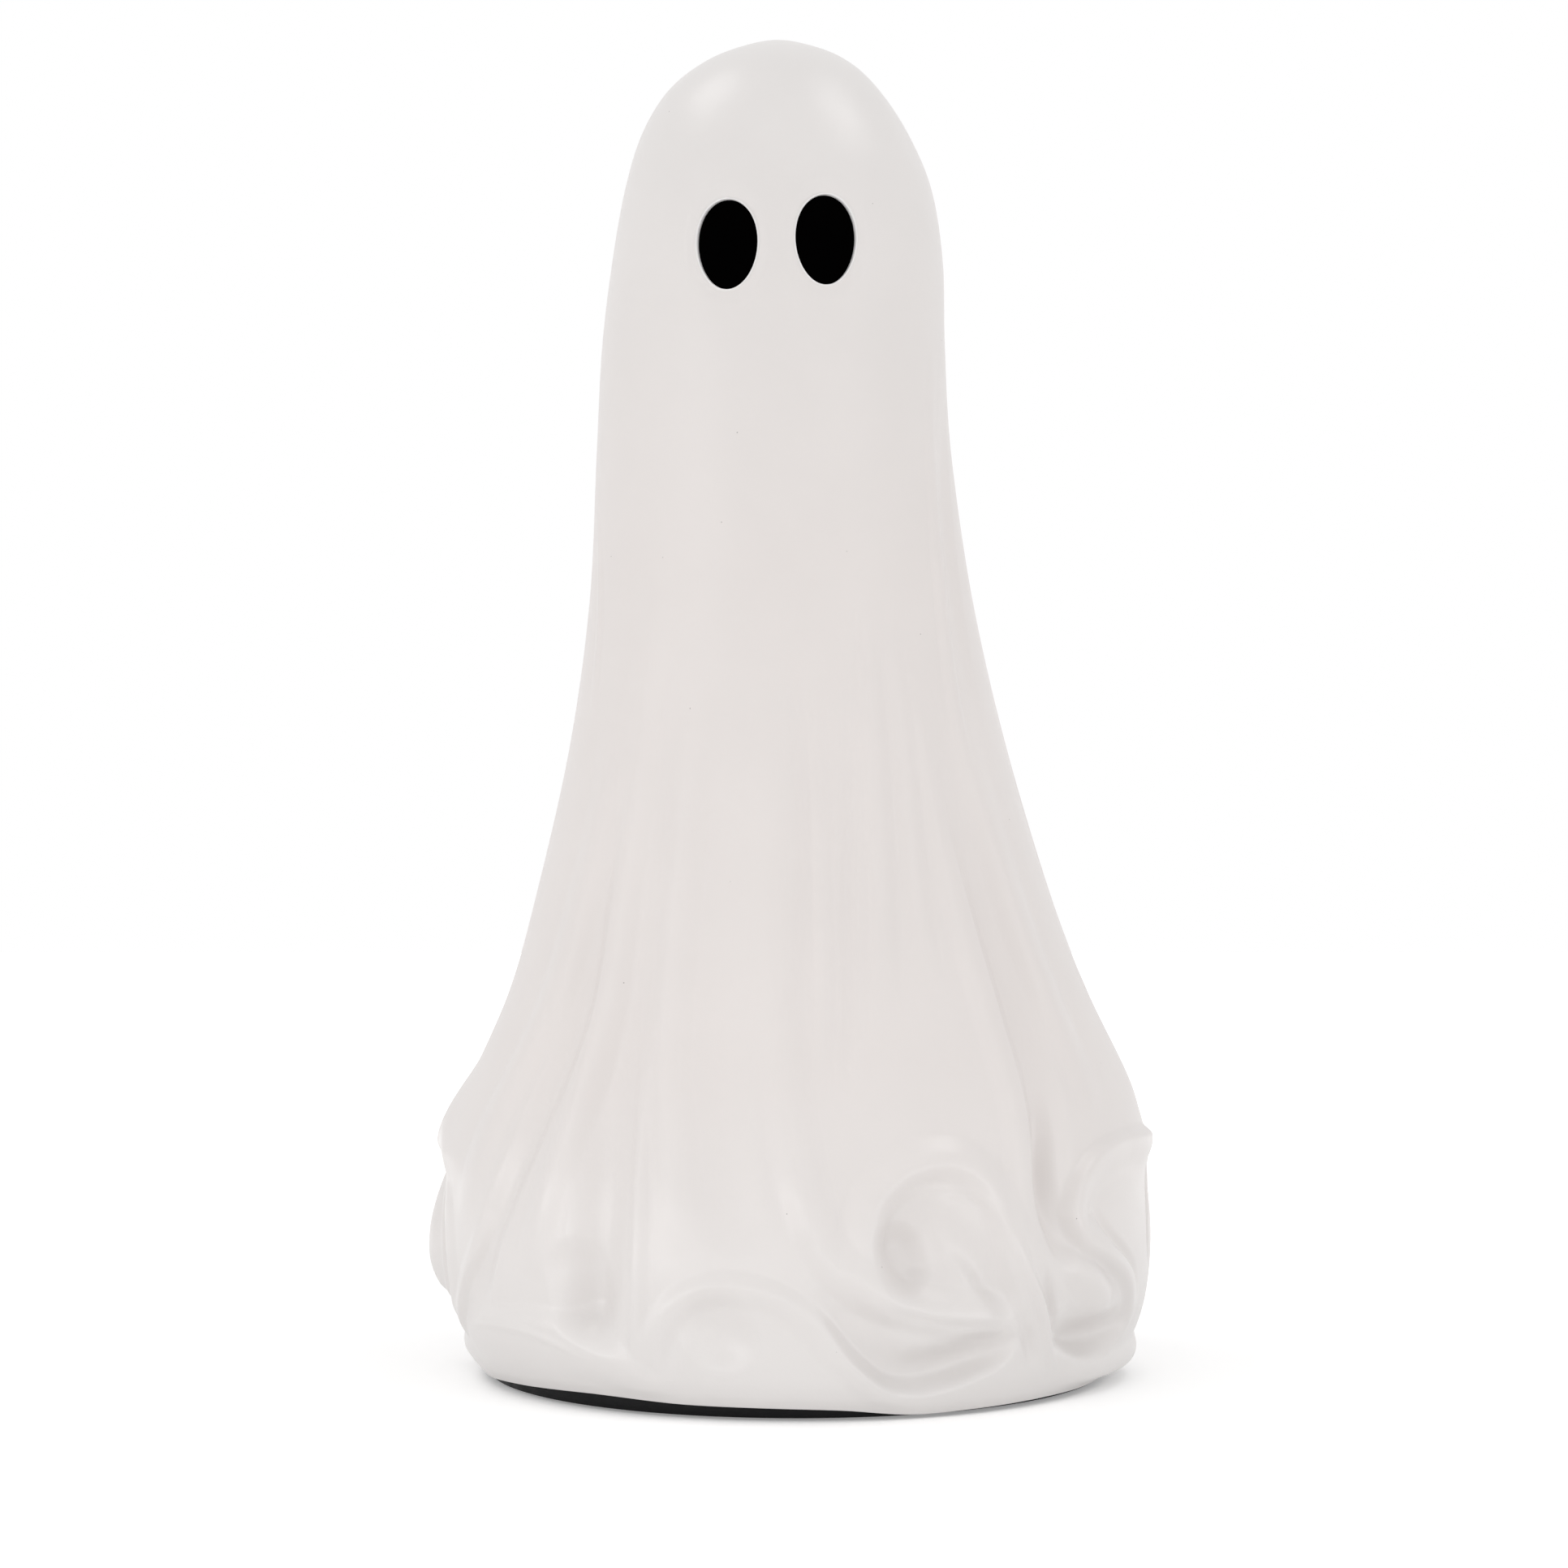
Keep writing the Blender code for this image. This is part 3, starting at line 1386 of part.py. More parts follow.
def make_small_screws(parts, cutters, finish):
    seat = EAR_TOP + GAP
    length = seat - BOSS_TOP + SCREW_GRIP
    for number, place in enumerate(box_screw_places(), 1):
        small_screw(f"battery_box_screw_{number}", place, seat, length, parts, cutters, finish)
    for number, place in enumerate(switch_screw_places(), 1):
        small_screw(f"switch_screw_{number}", place, seat, length, parts, cutters, finish)
    seat = BOARD_TOP + GAP
    length = seat - BOARD_BOTTOM + SCREW_GRIP
    for number, place in enumerate(board_screw_places(), 1):
        small_screw(f"led_board_screw_{number}", place, seat, length, parts, cutters, finish)


def make_board(parts, cutters, finish, lens):
    place = (BASE_SHIFT, BOARD_PLACE_Y)
    board = rod("led_board", BOARD_RADIUS, BOARD_BOTTOM, BOARD_TOP, place, parts, finish, steps=ROUND_STEPS)
    holes = []
    for number, spot in enumerate(board_screw_places(), 1):
        name = f"board_hole_{number}"
        bore = SMALL_SCREW_RADIUS + GAP
        low = BOARD_BOTTOM - MM
        holes.append(rod(name, bore, low, BOARD_TOP + MM, spot, cutters, steps=SMALL_ROUND_STEPS))
    group(board, holes, "DIFFERENCE", cutters)
    dome = []
    for angle in (0.0, math.pi / 6, math.pi / 3, math.pi / 2):
        dome.append((LED_RADIUS * math.sin(angle), LED_HEIGHT - LED_RADIUS * (1 - math.cos(angle))))
    rim = LED_RADIUS + LED_RIM
    profile = dome + [(LED_RADIUS, LED_RIM_HEIGHT), (rim, LED_RIM_HEIGHT), (rim, 0.0), (0.0, 0.0)]
    for number in range(1, LED_COUNT + 1):
        x, y = around(LED_CIRCLE, 60 + TURN * number / LED_COUNT, place)
        turned(f"led_{number}", profile, (x, y, BOARD_TOP + GAP), parts, lens)


def make_leads(parts, red, black, white):
    """The internal leads: cells to switch, switch to board, and board back to the cells."""
    x, y = BASE_SHIFT, BOX_PLACE_Y
    wall = BOX_HALF_LENGTH
    switch_x, switch_y = SWITCH_PLACE
    side = KNOB_WIDTH / 2 + KNOB_SHOULDER + MOVING_GAP + SWITCH_WALL + GAP
    level = FLOOR_TOP + LEAD_HEIGHT - LEAD_RADIUS
    board_level = (BOARD_BOTTOM + BOARD_TOP) / 2
    rim = BOARD_RADIUS + GAP
    board_y = BOARD_PLACE_Y
    out = LEAD_STRAIGHT
    routes = {
        "lead_red": (
            (x + wall, y + CELL_PITCH, CELL_HEIGHT),
            (x + wall + out, y + CELL_PITCH, CELL_HEIGHT),
            (switch_x - LEAD_SWING, y + LEAD_SWING, CELL_HEIGHT),
            (switch_x, y - LEAD_SWING, level),
            (switch_x, switch_y + side + out, level),
            (switch_x, switch_y + side, level),
        ),
        "lead_switch": (
            (switch_x, switch_y - side, level),
            (switch_x, switch_y - side - out, level),
            (switch_x - LEAD_SWING, board_y + 2 * LEAD_SWING, level + LEAD_RADIUS),
            (x + rim + 2 * out, board_y, board_level),
            (x + rim + out, board_y, board_level),
            (x + rim, board_y, board_level),
        ),
        "lead_black": (
            (x - wall, y - CELL_PITCH, CELL_HEIGHT),
            (x - wall - out, y - CELL_PITCH, CELL_HEIGHT),
            (x - wall - 2 * out, y - CELL_PITCH - 2 * LEAD_SWING, CELL_HEIGHT),
            (x - wall - 2 * out, (y - CELL_PITCH + board_y) / 2 - LEAD_SWING, board_level),
            (x - rim - 2 * out, board_y, board_level),
            (x - rim - out, board_y, board_level),
            (x - rim, board_y, board_level),
        ),
    }
    finishes = {"lead_red": red, "lead_switch": white, "lead_black": black}
    for name, route in routes.items():
        points = [tuple(point) for point in through(route, 4)]
        wire_object(name, points, LEAD_RADIUS, 2, parts, finishes[name])


def main():
    clear_scene()
    parts = new_collection("ghost_figure")
    cutters = new_collection("cutters")
    cutters.hide_render = True
    white = material("white plastic", (0.74, 0.71, 0.70), 0.42)
    black = material("black plastic", (0.012, 0.012, 0.013), 0.5)
    rubber = material("black rubber", (0.02, 0.02, 0.02), 0.8)
    steel = material("plated steel", (0.62, 0.62, 0.60), 0.3, 1.0)
    board_white = material("white board", (0.80, 0.80, 0.78), 0.5)
    lens = material("led lens", (0.90, 0.86, 0.70), 0.2)
    cell = material("battery sleeve", (0.05, 0.05, 0.055), 0.35)
    red = material("red insulation", (0.50, 0.02, 0.02), 0.45)
    grey = material("grey insulation", (0.45, 0.45, 0.45), 0.45)
    make_shell(parts, cutters, white)
    make_eyes(parts, black)
    make_base(parts, cutters, black)
    make_feet(parts, rubber)
    make_base_screws(parts, cutters, steel)
    make_battery_box(parts, cutters, black)
    make_battery_door(parts, cutters, black)
    make_batteries(parts, cell, steel)
    make_contacts(parts, steel)
    make_switch(parts, cutters, black, grey)
    make_small_screws(parts, cutters, steel)
    make_board(parts, cutters, board_white, lens)
    make_leads(parts, red, black, grey)


main()
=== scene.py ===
"""Looks of the standing ghost figure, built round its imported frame.

Metres, +Z up. The front of the figure faces -Y.
Bearings are in degrees from the front, positive towards +X.
"""

import math
from collections import namedtuple

import bmesh
import bpy
import numpy as np
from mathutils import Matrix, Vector


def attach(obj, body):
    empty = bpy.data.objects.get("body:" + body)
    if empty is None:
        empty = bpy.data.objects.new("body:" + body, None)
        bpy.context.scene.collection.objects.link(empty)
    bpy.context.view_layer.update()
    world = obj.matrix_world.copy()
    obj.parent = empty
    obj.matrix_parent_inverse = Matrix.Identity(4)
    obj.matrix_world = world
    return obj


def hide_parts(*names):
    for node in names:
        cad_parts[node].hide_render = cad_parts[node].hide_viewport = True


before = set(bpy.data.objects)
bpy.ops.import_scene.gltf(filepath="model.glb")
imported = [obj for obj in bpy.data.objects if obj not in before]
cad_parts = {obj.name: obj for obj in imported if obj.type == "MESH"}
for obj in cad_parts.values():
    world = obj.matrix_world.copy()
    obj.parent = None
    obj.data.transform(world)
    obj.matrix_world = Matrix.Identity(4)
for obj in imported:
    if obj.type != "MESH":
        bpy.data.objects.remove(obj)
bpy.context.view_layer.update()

MM = 0.001
TURN = 360.0
TINY = 1e-12

# Sizes of the sheet and the base, as in the solids
FIGURE_HEIGHT = 0.5588
BODY_HALF_WIDTH = 0.0748
BODY_HALF_DEPTH = 0.0695
WALL = 0.0020
BASE_RADIUS = 0.1285
BASE_SHIFT = 0.0035
BASE_HEIGHT = 0.0072
BASE_FLOOR = 0.0025
BASE_RIM = 0.0025
FOOT_PROUD = 0.0010
FOOT_RADIUS = 0.0070
FOOT_THICKNESS = 0.0018
FOOT_CIRCLE = BASE_RADIUS - 0.0285
FOOT_BEARINGS = (45.0, 135.0, 225.0, 315.0)
GAP = 0.0003
HEM_GAP = 0.0010
MOVING_GAP = 0.0004
FLANGE_RADIUS = BASE_RADIUS + HEM_GAP - 0.0270
BASE_SCREW_CIRCLE = FLANGE_RADIUS + 0.0115
BASE_SCREW_COUNT = 6
POST_RADIUS = 0.0046
SCREW_RADIUS = 0.0014
SCREW_HEAD_RADIUS = 0.0031
SCREW_HEAD_HEIGHT = 0.0020
SCREW_PROUD = 0.0025
SMALL_SCREW_RADIUS = 0.0011
PILOT_DEPTH = 0.0040
CROSS_WIDTH = 0.0006
CROSS_ARM = 0.55
THREAD_PITCH = 0.0008
THREAD_ROOT = 0.84

# Eyes
EYE_HALF_WIDTH = 0.0125
EYE_HALF_HEIGHT = 0.0185
EYE_EGG = 0.05
EYE_DEPTH = 0.0010
EYE_GAP = 0.0006
EYE_LIP = 0.0040
EYE_LIP_THICKNESS = 0.0015
EYE_PLACES = {"left": (-0.0249, FIGURE_HEIGHT - 0.0913), "right": (0.0158, FIGURE_HEIGHT - 0.0894)}
EYE_DENT = 0.0012
EYE_DENT_REACH = 0.42
EYE_SHARES = (0.12, 0.25, 0.4, 0.55, 0.7, 0.82, 0.91, 0.965)

# Batteries, their box and its door
CELL_RADIUS = 0.00725
CELL_LENGTH = 0.0505
CELL_NUB_RADIUS = 0.0027
CELL_NUB_LENGTH = 0.0010
CELL_COUNT = 3
CELL_PITCH = 0.0155
CELL_BAND_START = 0.68
SPRING_LENGTH = 0.0040
BOX_PLACE_Y = 0.0500
BOX_ROOM = 0.0004
BOX_WALL = 0.0016
BOSS_HEIGHT = 0.0045
BOSS_RADIUS = 0.0028
DOOR_THICKNESS = 0.0022
DOOR_LEDGE = 0.0015
TONGUE_WIDTH = 0.0100
TONGUE_REACH = 0.0025
TONGUE_THICKNESS = 0.0012
TONGUE_OFFSET = 0.0180
LATCH_WIDTH = 0.0100
LATCH_THICKNESS = 0.0014
LATCH_HEIGHT = 0.0035
GRIP_COUNT = 5
GRIP_EDGE = 0.0045
GRIP_PITCH = 0.0022
GRIP_HALF_LENGTH = 0.0070
GRIP_STEP = 0.0012
GRIP_DEPTH = 0.0005

# Slide switch and light board
SWITCH_PLACE = (0.0620, 0.0150)
SWITCH_WALL = 0.0014
KNOB_LENGTH = 0.0034
KNOB_WIDTH = 0.0030
KNOB_SHOULDER = 0.0008
KNOB_SHOULDER_HEIGHT = 0.0014
KNOB_TRAVEL = 0.0040
KNOB_PROUD = 0.0006
KNOB_RISE = 0.0022
BOARD_PLACE_Y = -0.0250
BOARD_POST_HEIGHT = 0.0085
BOARD_SCREW_CIRCLE = 0.0225
BOARD_SCREW_COUNT = 3

# Heights and lengths that follow from the sizes above
BASE_BOTTOM = FOOT_PROUD
FLOOR_TOP = BASE_BOTTOM + BASE_FLOOR
BASE_TOP = BASE_BOTTOM + BASE_HEIGHT
FLANGE_BOTTOM = BASE_TOP + GAP
FLANGE_TOP = FLANGE_BOTTOM + WALL
HEAD_SEAT = BASE_BOTTOM + GAP + SCREW_HEAD_HEIGHT
BOSS_TOP = FLOOR_TOP + BOSS_HEIGHT
DOOR_TOP = BASE_BOTTOM + DOOR_THICKNESS
CELL_HEIGHT = DOOR_TOP + BOX_ROOM + CELL_RADIUS
CONTACT_GAP = 0.0011
BOX_HALF_LENGTH = (CELL_LENGTH + SPRING_LENGTH + GAP) / 2 + CONTACT_GAP
BOX_HALF_WIDTH = (CELL_COUNT - 1) / 2 * CELL_PITCH + CELL_RADIUS + BOX_ROOM
DOOR_HALF_LENGTH = BOX_HALF_LENGTH + DOOR_LEDGE
DOOR_HALF_WIDTH = BOX_HALF_WIDTH + DOOR_LEDGE
HINGE_Y = BOX_PLACE_Y - DOOR_HALF_WIDTH
LATCH_Y = BOX_PLACE_Y + DOOR_HALF_WIDTH - DOOR_LEDGE
SLOT_LENGTH = KNOB_LENGTH + KNOB_TRAVEL + 2 * MOVING_GAP
SLOT_WIDTH = KNOB_WIDTH + 2 * MOVING_GAP

# Sections of the head: height, half width and half depth as shares of the body's, and shift to the side
HEAD = (
    (0.5588, 0.000, 0.000, -0.0043),
    (0.5550, 0.240, 0.242, -0.0040),
    (0.5480, 0.434, 0.439, -0.0046),
    (0.5365, 0.602, 0.608, -0.0057),
    (0.5190, 0.748, 0.756, -0.0052),
    (0.4960, 0.859, 0.867, -0.0039),
    (0.4660, 0.926, 0.935, -0.0042),
    (0.4300, 0.961, 0.971, -0.0059),
    (0.3850, 0.995, 1.000, -0.0057),
)

# Sections of the skirt: height, how far out to the base's radius at the side and in front, and shift
SKIRT = (
    (0.3240, 0.104, 0.093, -0.0027),
    (0.2630, 0.309, 0.263, -0.0001),
    (0.2010, 0.613, 0.517, 0.0022),
    (0.1600, 0.873, 0.737, 0.0045),
)

# Sections of the hem: height, how far out from the base's wall at the side and in front, and shift
HEM = (
    (0.1190, 0.0116, 0.0000, 0.0053),
    (0.0900, 0.0180, 0.0080, BASE_SHIFT),
    (0.0600, 0.0205, 0.0115, BASE_SHIFT),
    (0.0350, 0.0185, 0.0105, BASE_SHIFT),
    (0.0170, 0.0130, 0.0080, BASE_SHIFT),
    (0.0080, 0.0075, 0.0055, BASE_SHIFT),
)
HEM_EDGE = 0.0030
HEM_FADE = 0.0240

# How far the hem's edge stands over or under HEM_EDGE, by bearing
EDGE_WAVE = (
    (-180, 0.0010),
    (-150, -0.0008),
    (-115, 0.0022),
    (-80, 0.0002),
    (-60, 0.0022),
    (-38, 0.0042),
    (-20, 0.0032),
    (-5, 0.0028),
    (8, 0.0018),
    (20, -0.0008),
    (32, -0.0006),
    (50, 0.0000),
    (66, 0.0002),
    (90, 0.0018),
    (130, -0.0008),
    (158, 0.0020),
)

# A fold lifts the sheet along a path: name, reach in mm to the left and right of the path's direction,
# and the path's points as bearing, height in mm and lift in mm
Fold = namedtuple("Fold", "name left right path")

BODY_FOLDS = (
    Fold("left broad ridge", 13, 16, ((-50, 310, 0), (-50, 240, 1.2), (-53, 188, 2), (-58, 128, 2.4),
        (-65, 84, 1), (-68, 70, 0))),
    Fold("left valley", 10, 12, ((-46, 270, 0), (-46, 205, -1), (-46, 150, -1.8), (-48.5, 110, -2.4),
        (-52, 86, -2.4), (-56, 66, -2), (-58.6, 50, -2), (-60, 38, 0))),
    Fold("left narrow ridge", 11, 12, ((-37, 360, 0), (-41, 294, 0.9), (-40, 230, 1.4), (-39, 150, 2),
        (-41, 98, 2.4), (-43.5, 72, 1.4), (-45.5, 52, 0))),
    Fold("left deep valley", 17, 16, ((-37, 270, 0), (-35.6, 210, -0.8), (-34.2, 147, -2), (-31.8, 100, -3),
        (-31.8, 72, -4), (-32.6, 50, -5), (-33.4, 38, -4), (-35, 27, 0))),
    Fold("left thin ridge", 6, 4, ((-31, 172, 0), (-27.6, 130, 0.5), (-25.2, 90, 0.8), (-25, 60, 0.9),
        (-25.6, 36, 0.9), (-27, 14, 0))),
    Fold("left front ridge", 12, 10, ((-25, 300, 0), (-26, 220, 1), (-25, 150, 1.3), (-20, 100, 1.2),
        (-18, 66, 0))),
    Fold("front valley", 16, 16, ((-15, 290, 0), (-16, 220, -0.7), (-15, 150, -1.2), (-11, 90, -1.5),
        (-9, 66, 0))),
    Fold("middle ridge", 10, 13, ((-2, 320, 0), (-2.5, 240, 1), (-3.8, 170, 1.4), (-1.8, 125, 1.7),
        (0.6, 98, 1.7), (2.6, 82, 0.9), (4, 72, 0))),
    Fold("middle valley", 6, 6, ((4, 300, 0), (4, 240, -0.6), (2, 185, -0.6), (0, 155, 0))),
    Fold("middle small ridge", 5, 5, ((8, 300, 0), (7, 225, 0.6), (5, 165, 0.8), (3, 125, 0))),
    Fold("right crease", 4.5, 4.5, ((18, 300, 0), (14.5, 240, -0.6), (12, 206, -0.8), (9.2, 155, -0.7),
        (8, 128, 0))),
    Fold("right front ridge", 9, 6, ((26, 335, 0), (22, 268, 1), (18.5, 200, 1.2), (14, 140, 0))),
    Fold("right front small ridge", 7, 7, ((31, 320, 0), (31, 270, 0.6), (28, 210, 0.7), (27, 170, 0))),
    Fold("right front valley", 5, 5, ((34, 285, 0), (34, 240, -0.4), (33, 185, 0))),
    Fold("right line", 10, 9, ((36, 300, 0), (36, 240, 0.9), (37.6, 190, 1), (37.2, 110, 1.2),
        (37.6, 80, 1.3), (40, 62, 1.4), (44.4, 42, 0))),
    Fold("right deep valley", 16, 10, ((42.5, 290, 0), (45, 230, -1.4), (45.6, 175, -3), (44, 125, -2.6),
        (43.4, 95, -2), (44, 70, 0))),
    Fold("right deep hollow", 9, 9, ((43.2, 134, 0), (42.8, 112, -2.4), (42.8, 96, -4), (43, 82, -4),
        (44.6, 70, -2.4), (48, 62, -0.8), (53, 56, 0))),
    Fold("right broad ridge", 17, 11, ((50, 300, 0), (54, 220, 1.8), (55.5, 165, 2.4), (56, 128, 1.2),
        (58, 114, 0))),
    Fold("right side line", 6, 6, ((67, 430, 0), (60, 380, 0.7), (56, 337, 1.1), (52, 290, 1),
        (50, 245, 0))),
    Fold("right side valley", 9, 9, ((80, 420, 0), (68, 371, -1), (63, 320, -1), (61, 268, 0))),
    Fold("left side line", 5, 5, ((-77, 365, 0), (-68, 320, 0.8), (-64, 270, 0))),
)

HEM_FOLDS = (
    Fold("ring curl", 9, 13, ((40.5, 30, 0), (38.5, 42, 1), (36, 56, 2), (33, 77, 2.8), (30, 92, 3.1),
        (24.5, 100, 3.2), (17.5, 98, 3.2), (12.6, 88, 3.2), (10.8, 75, 3.2), (11.4, 62, 3), (14.2, 52, 2),
        (19, 46, 0))),
    Fold("ring curl line", 2.5, 2.5, ((35, 60, 0), (31, 82, 0.3), (25, 91, 0.35), (17.5, 89, 0.35),
        (13.4, 78, 0.35), (13, 63, 0.3), (16, 52, 0))),
    Fold("ring curl bowl", 21, 21, ((19, 72, -3.3), (21, 64, -3.3))),
    Fold("ring curl hollow", 13, 13, ((15.6, 68, -3.6), (16.6, 60, -3.6))),
    Fold("ring curl valley", 11, 9, ((24, 84, 0), (26.2, 72, -1.2), (29.2, 59, -2.4), (33, 45, -2),
        (36, 33, 0))),
    Fold("ring curl band", 12, 10, ((-1, 108, 0), (1.4, 86, 1.2), (3, 73, 2), (6.6, 59, 2.8),
        (11.2, 50, 3.2), (17, 44.5, 3), (23, 41.5, 2.8), (31, 39, 2), (38, 38, 0))),
    Fold("band crease", 2.5, 2.5, ((12, 47, 0), (17, 42.5, -0.4), (23, 38.5, -0.6), (29, 36.8, -0.6),
        (34.5, 36, 0))),
    Fold("band pocket", 17, 6, ((3.6, 55, 0), (6, 42, -1.6), (9.6, 29, -3), (15, 18, -5), (20, 15.5, -6.4),
        (25, 17, -6.8), (29.5, 20, -6.2), (33.5, 24, -4), (36.5, 33, 0))),
    Fold("front arch", 7, 9, ((-25, 12, 0), (-22.8, 32, 0.7), (-18, 48, 1.1), (-11, 54, 1.3), (-4, 51, 1.3),
        (1, 43, 1.2), (6, 30, 1.2), (11, 16, 1.2), (16, 6, 0.8), (24, 2, 0))),
    Fold("left hollow", 16, 16, ((-36.4, 56, -2), (-35.4, 44, -3))),
    Fold("front arch bowl", 17, 17, ((-12.5, 38, -2.6), (-11.5, 34, -2.6))),
    Fold("front arch groove", 5, 5, ((-17, 42, 0), (-19.6, 30, -0.6), (-21.6, 14, 0))),
    Fold("left arch", 10, 22, ((-76, 20, 0), (-61, 27, 1.2), (-46, 33, 1.4), (-37, 30, 1.4),
        (-30.5, 23, 1.4), (-26, 13, 1), (-22, 5, 0))),
    Fold("left arch line", 2.5, 2.5, ((-66, 27, 0), (-58, 31, 0.5), (-48, 31, 0.5), (-40, 27, 0.4),
        (-34, 21, 0))),
    Fold("left lobe edge", 4, 9, ((-56.4, 76, 0), (-60.4, 59, 1.2), (-65, 45, 2), (-69, 31, 2),
        (-72, 20, 0))),
    Fold("left side crest", 38, 12, ((-122, 99, 0), (-104, 98, 4), (-90, 96.5, 6.4), (-80, 95, 3.4),
        (-68, 94, 0))),
    Fold("left lobe step", 12, 4, ((-84, 92, 0), (-79, 80, 1), (-74.5, 66, 1.4), (-73, 50, 1.4),
        (-73.5, 36, 1), (-75, 24, 0))),
    Fold("left rear valley", 22, 12, ((-92, 94, 0), (-88, 84, -4), (-84, 70, -8), (-83, 56, -10),
        (-83, 42, -9), (-84, 30, -4), (-86, 20, 0))),
    Fold("left rear lobe", 18, 20, ((-108, 100, 0), (-104, 86, 3), (-100, 68, 7), (-98, 54, 8.6),
        (-98, 42, 8), (-101, 31, 3), (-104, 24, 0))),
    Fold("left rear tuck", 10, 14, ((-66, 19, 0), (-80, 21, -3), (-94, 22, -5), (-108, 21, -4),
        (-122, 20, 0))),
    Fold("right bulge", 11, 11, ((49, 56, 1.8), (53, 49, 2.2), (56.5, 41, 2))),
    Fold("right hollow", 17, 6, ((44, 34, 0), (48, 27, -4), (54, 22, -7.4), (61, 21.5, -7.4),
        (66, 26, -4.6), (69, 34, 0))),
    Fold("right curl", 14, 5, ((112, 94, 0), (100, 98, 2.4), (88, 100, 3.2), (68, 103, 2.8), (57, 100, 3),
        (50.4, 91, 3.2), (47.6, 78, 3.4), (49.6, 67, 3.4), (55, 60, 3.4), (61.5, 52, 3), (66, 42, 2.4),
        (71, 26, 0))),
    Fold("right corner", 22, 16, ((114, 97, 0), (98, 98, 0.8), (86, 98, 1.2), (76, 99, 0.8), (68, 100, 0))),
    Fold("right low bulge", 9, 9, ((48, 9, 0), (66, 10, 3.4), (88, 10, 5), (108, 10, 0))),
    Fold("right curl crease", 6, 3, ((54, 80, 0), (55, 73, -0.8), (57.6, 65.5, -2), (62.5, 58, -2.6),
        (67, 50, -2), (71, 38, 0))),
    Fold("right rim valley", 6, 4, ((90, 96, 0), (82, 88, -2), (79, 74, -2.6), (78, 60, -2), (80, 46, 0))),
    Fold("right leg ridge", 4, 4, ((34.5, 74, 0), (37, 58, 1.2), (40.5, 42, 1.8), (44.5, 24, 1),
        (47, 14, 0))),
    Fold("right leg valley", 4, 4, ((40.6, 60, 0), (42.6, 44, -1.6), (45, 30, -1), (47, 20, 0))),
    Fold("right low valley", 5, 5, ((36, 40, 0), (39.5, 28, -1.6), (42, 16, 0))),
)

BACK_FOLDS = (
    Fold("rear ridge 1", 10, 10, ((92, 330, 0), (96, 250, 1.4), (101, 170, 2.8), (106, 110, 3),
        (110, 70, 0))),
    Fold("rear valley 1", 9, 9, ((108, 310, 0), (112, 230, -1.6), (116, 150, -3), (120, 90, -3.4),
        (124, 50, 0))),
    Fold("rear ridge 2", 11, 11, ((124, 340, 0), (128, 250, 1.4), (132, 170, 2.6), (137, 110, 2.6),
        (140, 75, 0))),
    Fold("rear valley 2", 8, 8, ((142, 300, 0), (146, 220, -1.4), (149, 140, -2.8), (151, 90, 0))),
    Fold("rear ridge 3", 9, 9, ((158, 330, 0), (162, 240, 1.3), (165, 160, 2.2), (168, 100, 0))),
    Fold("rear valley 3", 10, 10, ((178, 290, 0), (180, 210, -1.4), (181, 130, -2.6), (183, 85, 0))),
    Fold("rear ridge 4", 12, 9, ((198, 330, 0), (199, 240, 1.5), (198, 160, 2.6), (196, 105, 0))),
    Fold("rear valley 4", 8, 8, ((213, 300, 0), (214, 220, -1.5), (216, 140, -3), (219, 90, -3),
        (222, 55, 0))),
    Fold("rear ridge 5", 9, 12, ((228, 340, 0), (230, 250, 1.4), (234, 165, 2.6), (239, 105, 2.4),
        (243, 72, 0))),
    Fold("rear valley 5", 8, 8, ((248, 310, 0), (250, 220, -1.4), (254, 140, -2.6), (257, 95, 0))),
    Fold("rear arch 1", 8, 9, ((112, 14, 0), (117, 40, 4), (126, 58, 5), (138, 60, 5), (147, 46, 4.5),
        (153, 24, 3.5), (157, 8, 0))),
    Fold("rear arch 1 hollow", 13, 13, ((130, 48, 0), (133, 32, -4), (136, 16, 0))),
    Fold("rear curl", 8, 9, ((205, 22, 0), (201, 46, 4), (196, 72, 5.5), (188, 86, 5), (178, 84, 5),
        (171, 70, 5.5), (171, 54, 5), (177, 44, 3), (182, 40, 0))),
    Fold("rear curl hollow", 12, 12, ((184, 74, 0), (184, 58, -5), (189, 44, 0))),
    Fold("rear skirt band", 8, 10, ((160, 36, 0), (172, 24, 3.5), (188, 22, 4), (202, 12, 0))),
    Fold("rear arch 2", 8, 8, ((211, 10, 0), (217, 32, 4), (226, 52, 5), (237, 56, 5), (246, 42, 4.5),
        (251, 24, 3), (255, 9, 0))),
    Fold("rear arch 2 hollow", 12, 12, ((230, 44, 0), (233, 28, -4), (236, 12, 0))),
)

FOLDS = BODY_FOLDS + HEM_FOLDS + BACK_FOLDS

# The fine sheet: steps in bearing at the front and at the back, and steps along its side by height
FRONT_TURN = 200.0
FRONT_STEP = 0.4
BACK_STEP = 1.0
ROW_STEPS = ((0.000, 0.120, 0.210, 0.400, 0.440, 0.559), (0.0011, 0.0011, 0.0024, 0.0024, 0.0013, 0.0013))
PROFILE_STEPS = 40
PATH_STEPS = 8
LIP_STEPS = 6
LIP_DROP = 0.0005
WINDOW_WIDE = 1.6
WINDOW_HIGH = 1.4
WINDOW_RINGS = 9
INNER_RINGS = 4

# Steps round the turned pieces, and the angles from which their edges are sharp
BASE_STEPS = 288
ROD_STEPS = 48
FOOT_STEPS = 64
CELL_STEPS = 96
EYE_STEPS = 128
SHARP_LATHED = 35.0
SHARP_BLOCK = 20.0
SHARP_CARVED = 30.0
SHARP_EYE = 40.0

